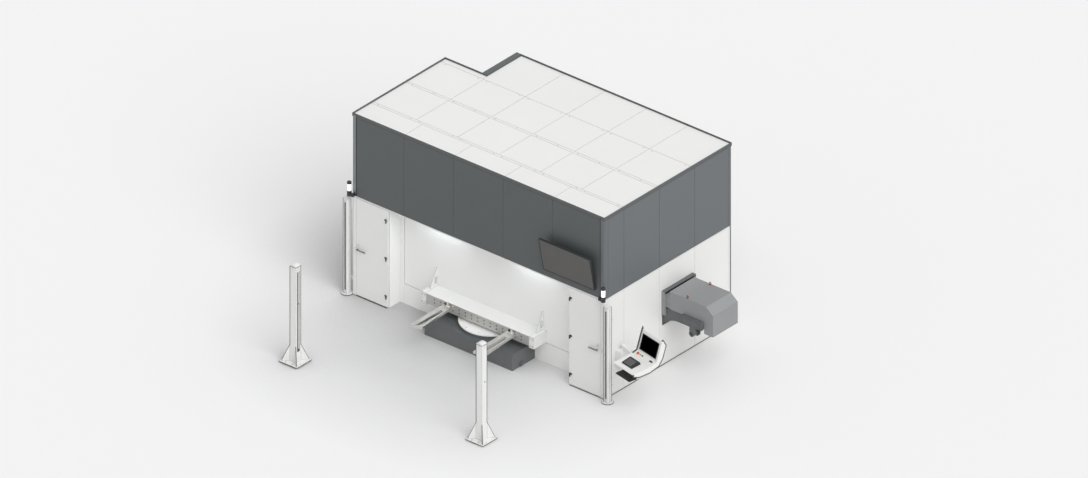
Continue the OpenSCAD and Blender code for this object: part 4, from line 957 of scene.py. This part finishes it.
class CELL_OT_fixture(bpy.types.Operator):
    """Clamps on the fixture arms, bolts of the brackets and of the disc"""

    bl_idname = "laser_cell.fixture"
    bl_label = "Fixture clamps"

    def fit(self, name, model, places, finish, angle=35):
        fitted(copied(name, model, places), "table", finish, angle)

    def execute(self, context):
        size = context.scene.cell_sizes.bolt_r
        post = worked(peg("clamp_post", 0.021, 0.060, 32), UPWARD, (0.006, 0, 0.016), edge=0.002, angle=40)
        jaw = worked(slab("clamp_jaw", 0.11, 0.056, 0.026), UPWARD, (0.006, -0.002), edge=0.003)
        pin = worked(peg("clamp_pin", 0.015, 0.034, 28), UPWARD, (0.004, 0.006), edge=0.0015, angle=40)
        self.fit("clamp_posts", post, [root @ shift(-0.022, -0.062, 0) for root in CLAMP_ROOTS], "nickel")
        self.fit("clamp_jaws", jaw, [root @ shift(0.012, -0.11, 0) for root in CLAMP_ROOTS], "nickel")
        self.fit("clamp_pins", pin, [root @ shift(0.045, -0.05, 0) for root in CLAMP_ROOTS], "satin")

        places = [turn @ at((side * x, -0.402, z), FORWARD)
                  for turn in HALF_TURNS for side in (-1, 1) for z in (0.50, 0.655) for x in (1.27, 1.33)]
        self.fit("bracket_bolts", hex_bolt("bracket_bolt", size, size), places, "rail", 0)

        disc_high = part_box("turntable_disc")[1]
        reach = disc_high.x - 0.05
        places = [at(turned(15 + 30 * i) @ Vector((reach, 0, disc_high.z))) for i in range(12)]
        self.fit("disc_screws", screw("disc_screw", size, size * 0.8), places, "rail", 0)

        # Black plugs in the plate holes: painted shade for the dark inside of the holes
        bush = peg("hole_bush", 0.0147, 0.004, 28)
        worked(bush, UPWARD, (0.004, 0, -0.0025), edge=0.0005, steps=1, angle=50)
        places = [turn @ at(((i - 7) * 0.15, -0.390, z), FORWARD)
                  for turn in HALF_TURNS for i in range(15) for z in (0.5513, 0.6213)]
        self.fit("hole_bushes", bush, places, "black")

        places = [root @ at((x, 0, z), FORWARD)
                  for root in CLAMP_ROOTS for x in (-0.131, 0.081) for z in (-0.064, -0.006)]
        self.fit("arm_flange_screws", screw("flange_screw", size * 0.8, size * 0.7), places, "rail", 0)
        return {"FINISHED"}


class CELL_OT_base(bpy.types.Operator):
    """Cable outlet and inspection covers of the table base"""

    bl_idname = "laser_cell.base"
    bl_label = "Base covers"

    def execute(self, context):
        outlet = block("base_outlet", (BASE_HIGH.x, -0.46, 0.03), (BASE_HIGH.x + 0.03, -0.38, 0.10))
        worked(outlet, RIGHTWARD, (0.010, 0, 0.018), edge=0.004)
        fitted(outlet, "cabin", "base")
        lid = block("base_lid", (-0.16, -0.003, -0.09), (0.16, 0.001, 0.09))
        worked(lid, FORWARD, (0.006, 0.001), edge=0.001)
        places = [shift(x, BASE_LOW.y, 0.17) for x in (-0.7, 0.0, 0.7)]
        fitted(copied("base_lids", lid, places), "cabin", "base")
        return {"FINISHED"}


class CELL_OT_posts(bpy.types.Operator):
    """End caps, plugs and screws of the barrier posts"""

    bl_idname = "laser_cell.posts"
    bl_label = "Barrier post fittings"

    def execute(self, context):
        cap = worked(slab("post_cap", 0.106, 0.106, 0.012), UPWARD, (0.006, 0.003), edge=0.003)
        places = [post @ shift(0, 0, POST_HIGH.z) for post in POSTS]
        fitted(copied("post_caps", cap, places), "cabin", "post_white")

        plug = worked(peg("column_plug", 0.013, 0.004, 28), UPWARD, (0.004, -0.002), edge=0.001, angle=50)
        places = [column @ at((COLUMN_HALF, 0, 1.26), RIGHTWARD) for column in COLUMNS]
        fitted(copied("column_plugs", plug, places), "cabin", "trim")

        head = screw("cap_screw", 0.008, 0.004)
        places = [column @ at((*(way.xy * COLUMN_HALF), z), way)
                  for column in COLUMNS for z in (1.99, 2.03) for way in (RIGHTWARD, FORWARD)]
        fitted(copied("column_screws", head, places), "cabin", "rail", 0)
        return {"FINISHED"}


class CELL_OT_trims(bpy.types.Operator):
    """Dark edge strips of the barrier posts, the mirror columns and their feet, which stand for painted shade lines
    along their edges
    """

    bl_idname = "laser_cell.trims"
    bl_label = "Edge trims"

    def corner(self, half, radius, leg=0.0):
        """Line in plan round the corner of a square at low X and low Y."""
        inner = radius - half
        arc = [(inner + radius * math.cos(a), inner + radius * math.sin(a))
               for a in (math.radians(180 + 22.5 * i) for i in range(5))]
        return [(-half, inner + leg)] + arc + [(inner + leg, -half)]

    def outline(self, half, radius):
        """Closed line in plan round a square with rounded corners."""
        line = []
        for i in range(4):
            turn = Matrix.Rotation(math.radians(90 * i), 2)
            line += [turn @ Vector(point) for point in self.corner(half, radius)[1:-1]]
        return line + line[:1]

    def fit(self, name, path, across, places):
        strip = round_edges(thicken(ribbon(name + "_strip", path, across), 0.006), 0.001, 1)
        fitted(copied(name, strip, places), "cabin", "trim")

    def stand(self, name, plan, low, high, places):
        """Upright strip along a line in plan, at each of the places."""
        self.fit(name, [Vector((x, y, (low + high) / 2)) for x, y in plan], UPWARD * (high - low), places)

    def execute(self, context):
        # Dark strips along the corners and rims: painted shade lines along the edges
        self.stand("column_guards", self.corner(COLUMN_HALF, COLUMN_ROUND, 0.006), 0.365, 2.046,
                   [column @ turn for column in COLUMNS for turn in HALF_TURNS])
        self.stand("column_rims", self.outline(COLUMN_HALF, COLUMN_ROUND), 2.046, 2.051, COLUMNS)
        self.stand("foot_rims", self.outline(FOOT_HALF, FOOT_ROUND), 0.0205, 0.0295, COLUMNS)
        self.stand("post_guards", self.corner(POST_HALF, POST_ROUND, 0.005), 0.016, 2.036,
                   [post @ turn for post in POSTS for turn in HALF_TURNS])
        circle = [turned(10 * i) @ Vector((POST_FOOT, 0, 0)) for i in range(36)]
        self.stand("post_foot_rims", [point.xy for point in circle + circle[:1]], 0.001, 0.014, POSTS)
        slope = [Vector((x, 0, z)) for x, z in ((0.1026, 0.37), (0.251, 0.05), (0.251, 0.031))]
        self.fit("rib_trims", slope, BACKWARD * 0.012,
                 [column @ turned(45 + 90 * i) for column in COLUMNS for i in range(4)])
        return {"FINISHED"}


class CELL_OT_conveyor(bpy.types.Operator):
    """Seal, partly painted shade, cover strips, bolts and motor fins of the scrap conveyor"""

    bl_idname = "laser_cell.conveyor"
    bl_label = "Conveyor fittings"

    def execute(self, context):
        size = context.scene.cell_sizes.bolt_r
        # Black strip on the flange face above the hood: a seal, and painted shade for the shaded gap above the hood
        seal = block("flange_seal_and_shade", (FLANGE_FACE, FLANGE_LOW.y + 0.012, FLANGE_HIGH.z - 0.046),
                     (FLANGE_FACE + 0.010, FLANGE_HIGH.y - 0.012, FLANGE_HIGH.z - 0.006))
        worked(seal, RIGHTWARD, (0.008, -0.003), edge=0.002)
        fitted(seal, "cabin", "rubber")
        top = block("flange_top", (FLANGE_LOW.x + 0.004, FLANGE_LOW.y + 0.004, FLANGE_HIGH.z - 0.001),
                    (FLANGE_FACE - 0.002, FLANGE_HIGH.y - 0.004, FLANGE_HIGH.z + 0.003))
        worked(top, UPWARD, (0.006, 0.001), edge=0.001)
        fitted(top, "cabin", "base")

        gear_y, left, right, high = GEAR_LOW.y, GEAR_LOW.x, GEAR_HIGH.x, GEAR_HIGH.z
        lid = block("gear_lid", (left + 0.030, gear_y - 0.004, high - 0.150),
                    (right - 0.030, gear_y + 0.001, high - 0.020))
        worked(lid, FORWARD, (0.014, 0, -0.003), (0.004, 0, 0.002), edge=0.001)
        fitted(lid, "cabin", "base")
        places = [at((x, gear_y - 0.004, z), FORWARD)
                  for x in (left + 0.037, (left + right) / 2, right - 0.037) for z in (high - 0.143, high - 0.027)]
        head = screw("gear_screw", size * 0.8, size * 0.6)
        fitted(copied("gear_screws", head, places), "cabin", "base", 0)

        rivet = screw("hood_rivet", size * 0.7, size * 0.4)
        deep = HOOD_HIGH.y - HOOD_LOW.y - 0.12
        places = [at((HOOD_LOW.x + 0.06 + 0.115 * i, y, HOOD_HIGH.z))
                  for i in range(7) for y in (HOOD_LOW.y + 0.018, HOOD_HIGH.y - 0.018)]
        places += [at((HOOD_HIGH.x, HOOD_LOW.y + 0.06 + deep * i / 4, z), RIGHTWARD)
                   for i in range(5) for z in (HOOD_HIGH.z - 0.16, HOOD_LOW.z + 0.02)]
        fitted(copied("hood_rivets", rivet, places), "cabin", "hood", 0)

        bolt = hex_bolt("flange_bolt", size, size)
        places = [at((FLANGE_FACE, FLANGE_HIGH.y - 0.05, FLANGE_LOW.z + 0.05 + 0.085 * i), RIGHTWARD) for i in range(6)]
        fitted(copied("flange_bolts", bolt, places), "cabin", "rail", 0)

        middle = (MOTOR_LOW + MOTOR_HIGH) / 2
        fin = bar("motor_fin", (0, 0, -0.002), (0, 0, 0.002), 0.0495, 40)
        choose(fin, lambda normal: abs(normal.z) > FACING)
        bpy.ops.mesh.inset(thickness=0.004)
        bpy.ops.transform.resize(value=(1, 1, 0.7))
        finish_edit()
        places = [at((middle.x, MOTOR_LOW.y + 0.042 + 0.013 * i, middle.z), BACKWARD) for i in range(9)]
        fitted(copied("motor_fins", fin, places), "cabin", "grey")
        box = block("motor_terminals", (middle.x - 0.04, MOTOR_LOW.y + 0.05, middle.z - 0.085),
                    (middle.x + 0.04, MOTOR_LOW.y + 0.14, middle.z - 0.045))
        fitted(worked(box, -UPWARD, (0.006, 0.004), edge=0.003), "cabin", "grey")
        return {"FINISHED"}


class CELL_OT_gantry(bpy.types.Operator):
    """Drives of the gantry and the nozzle of the cutting head"""

    bl_idname = "laser_cell.gantry"
    bl_label = "Gantry drives"

    def execute(self, context):
        foot = Vector((PLATE_FACE, CARRIAGE_HIGH.y - 0.055, CARRIAGE_HIGH.z - 0.10))
        fitted(servo("carriage_drive", foot, RIGHTWARD), "carriage", "black", 0)
        for label, y in (("front", BRIDGE_LOW.y + 0.16), ("rear", BRIDGE_HIGH.y - 0.16)):
            drive = servo("bridge_drive_" + label, (0, y, BRIDGE_HIGH.z), UPWARD)
            fitted(drive, "bridge", "black", 0)

        tip = bar("cutting_nozzle", NOZZLE, NOZZLE + UPWARD * 0.022, 0.016, 36)
        choose(tip, lambda normal: normal.z < -FACING)
        bpy.ops.transform.resize(value=(0.5, 0.5, 1))
        bpy.ops.mesh.inset(thickness=0.003)
        pull((0, 0, 0.006))
        finish_edit()
        fitted(round_edges(tip, 0.0008, 2, 40), "laser_head", "copper")
        collar = bar("nozzle_ring", NOZZLE + UPWARD * 0.040, NOZZLE + UPWARD * 0.052, 0.027, 40)
        choose(collar, lambda normal: abs(normal.z) < 0.2)
        bpy.ops.mesh.inset(thickness=0.0006, use_individual=True, depth=-0.0012)
        finish_edit()
        fitted(collar, "laser_head", "black", 20)
        return {"FINISHED"}


class CELL_OT_stage(bpy.types.Operator):
    """Pale floor, even sky, two soft lights and the parallel camera"""

    bl_idname = "laser_cell.stage"
    bl_label = "Stage"

    # Middle of the picture along its own right and up, and the tones that the camera and the light find
    AIM_RIGHT, AIM_UP = 0.972, 1.8507
    SKY_SEEN = 0.913
    FLOOR_UNSEEN = (0.8, 0.8, 0.8, 1)

    def execute(self, context):
        scene = context.scene
        look = scene.cell_stage
        rest()
        bpy.ops.mesh.primitive_plane_add(size=400, location=(0, 0, -0.001))
        floor = settle(named("studio_floor"))
        floor.data.materials.append(self.floor_finish(look))
        scene.world = self.sky(look)
        self.sun("key_light", look.key, 48, Vector((0.66, -0.30, 0.69)))
        self.sun("rear_light", look.rear, 60, Vector((0.10, 0.45, 0.89)))

        turn, rise = look.azimuth, look.elevation
        right = Vector((math.cos(turn), math.sin(turn), 0))
        back = Vector((math.sin(turn) * math.cos(rise), -math.cos(turn) * math.cos(rise), math.sin(rise)))
        up = back.cross(right)
        bpy.ops.object.camera_add(location=right * self.AIM_RIGHT + up * self.AIM_UP + back * 40)
        camera = bpy.context.active_object
        camera.name = "view_camera"
        camera.data.type = "ORTHO"
        camera.data.ortho_scale = look.span
        camera.data.clip_end = 200
        camera.rotation_euler = Matrix((right, up, back)).transposed().to_euler()
        scene.camera = camera
        scene.view_settings.view_transform = "Standard"
        return {"FINISHED"}

    def sun(self, name, strength, spread, towards):
        """Wide sun that stands in a direction."""
        bpy.ops.object.light_add(type="SUN", location=towards * 12)
        lamp = bpy.context.active_object
        lamp.name = name
        lamp.data.energy = strength
        lamp.data.angle = math.radians(spread)
        lamp.rotation_euler = towards.to_track_quat("Z", "Y").to_euler()

    def shown(self, tree, out, unseen, seen):
        """Gives the output one shader for the rays that carry light and one for those that show a picture."""
        rays = wired(tree, "ShaderNodeLightPath").outputs
        direct = maths(tree, "MAXIMUM", rays["Is Camera Ray"], rays["Is Glossy Ray"])
        direct = maths(tree, "MAXIMUM", direct, rays["Is Transmission Ray"])
        mix = feed(tree, wired(tree, "ShaderNodeMixShader"), {0: direct, 1: unseen.outputs[0], 2: seen.outputs[0]})
        feed(tree, out, {"Surface": mix.outputs[0]})

    def floor_finish(self, look):
        """Floor that keeps the cell's shade and is pale where the camera or a gloss sees it; there, painted shade also
        darkens it near the cell, more on the cell's left, and in a painted pool of shade in front of the bay.
        """
        material, tree, shader = started("studio_floor")
        tree.nodes.remove(shader)
        # Painted shade: ambient occlusion darkens the floor's colour near the cell, more towards its left side
        near = feed(tree, wired(tree, "ShaderNodeAmbientOcclusion", samples=8), {"Distance": 3.0}).outputs["AO"]
        spot = feed(tree, wired(tree, "ShaderNodeSeparateXYZ"), {0: coordinates(tree)}).outputs
        side = stretched(tree, spot["X"], -4.0, 3.2, look.contact, 0.08)
        contact = maths(tree, "MULTIPLY", stretched(tree, near, 0.4, 1.0, 1.0, 0.0), side)
        # Painted shadow: a soft oval pool of shade in front of the bay
        across = maths(tree, "MULTIPLY", spot["X"], 0.24)
        ahead = maths(tree, "MULTIPLY", maths(tree, "ADD", spot["Y"], 2.3), 0.42)
        squares = [maths(tree, "MULTIPLY", way, way) for way in (across, ahead)]
        far = maths(tree, "SQRT", maths(tree, "ADD", *squares))
        pool = stretched(tree, far, 0.15, 1.1, look.pool, 0.0)
        shade = maths(tree, "SUBTRACT", 1.0, maths(tree, "ADD", contact, pool))
        tone = greyed(tree, maths(tree, "MULTIPLY", shade, look.floor))
        unseen = feed(tree, wired(tree, "ShaderNodeBsdfDiffuse"), {"Color": self.FLOOR_UNSEEN})
        seen = feed(tree, wired(tree, "ShaderNodeBsdfDiffuse"), {"Color": tone})
        self.shown(tree, tree.nodes["Material Output"], unseen, seen)
        return material

    def sky(self, look):
        """Even sky, with a tone of its own where the camera, a gloss or a glass sees it."""
        world = bpy.data.worlds.new("studio_sky")
        world.use_nodes = True
        tree = world.node_tree
        tree.nodes.clear()
        unseen, seen = (
            feed(tree, wired(tree, "ShaderNodeBackground"), {"Color": (1, 1, 1, 1), "Strength": strength})
            for strength in (look.sky, self.SKY_SEEN)
        )
        self.shown(tree, wired(tree, "ShaderNodeOutputWorld"), unseen, seen)
        return world


STEPS = (
    CELL_OT_coat, CELL_OT_roof_screws, CELL_OT_band, CELL_OT_seals, CELL_OT_door_locks, CELL_OT_display,
    CELL_OT_lamps, CELL_OT_console, CELL_OT_keys, CELL_OT_fixture, CELL_OT_base, CELL_OT_posts, CELL_OT_trims,
    CELL_OT_conveyor, CELL_OT_gantry, CELL_OT_stage,
)


class CELL_PT_panel(bpy.types.Panel):
    """Lists the cell's finishes, sizes and steps in the sidebar"""

    bl_idname = "CELL_PT_panel"
    bl_label = "Laser cutting cell"
    bl_space_type = "VIEW_3D"
    bl_region_type = "UI"
    bl_category = "Laser cell"

    def draw(self, context):
        for group in (context.scene.cell_finish, context.scene.cell_sizes, context.scene.cell_stage):
            box = self.layout.box()
            for key in group.__annotations__:
                box.prop(group, key)
        for step in STEPS:
            self.layout.operator(step.bl_idname)


CLASSES = (CellFinish, CellSizes, CellStage) + STEPS + (CELL_PT_panel,)


def register():
    for kind in CLASSES:
        bpy.utils.register_class(kind)
    bpy.types.Scene.cell_finish = PointerProperty(type=CellFinish)
    bpy.types.Scene.cell_sizes = PointerProperty(type=CellSizes)
    bpy.types.Scene.cell_stage = PointerProperty(type=CellStage)


def unregister():
    del bpy.types.Scene.cell_stage
    del bpy.types.Scene.cell_sizes
    del bpy.types.Scene.cell_finish
    for kind in reversed(CLASSES):
        bpy.utils.unregister_class(kind)


def main():
    register()
    bpy.ops.laser_cell.coat()
    bpy.ops.laser_cell.roof_screws()
    bpy.ops.laser_cell.band()
    bpy.ops.laser_cell.seals()
    bpy.ops.laser_cell.door_locks()
    bpy.ops.laser_cell.display()
    bpy.ops.laser_cell.lamps()
    bpy.ops.laser_cell.console()
    bpy.ops.laser_cell.keys()
    bpy.ops.laser_cell.fixture()
    bpy.ops.laser_cell.base()
    bpy.ops.laser_cell.posts()
    bpy.ops.laser_cell.trims()
    bpy.ops.laser_cell.conveyor()
    bpy.ops.laser_cell.gantry()
    bpy.ops.laser_cell.stage()


if __name__ == "__main__":
    main()
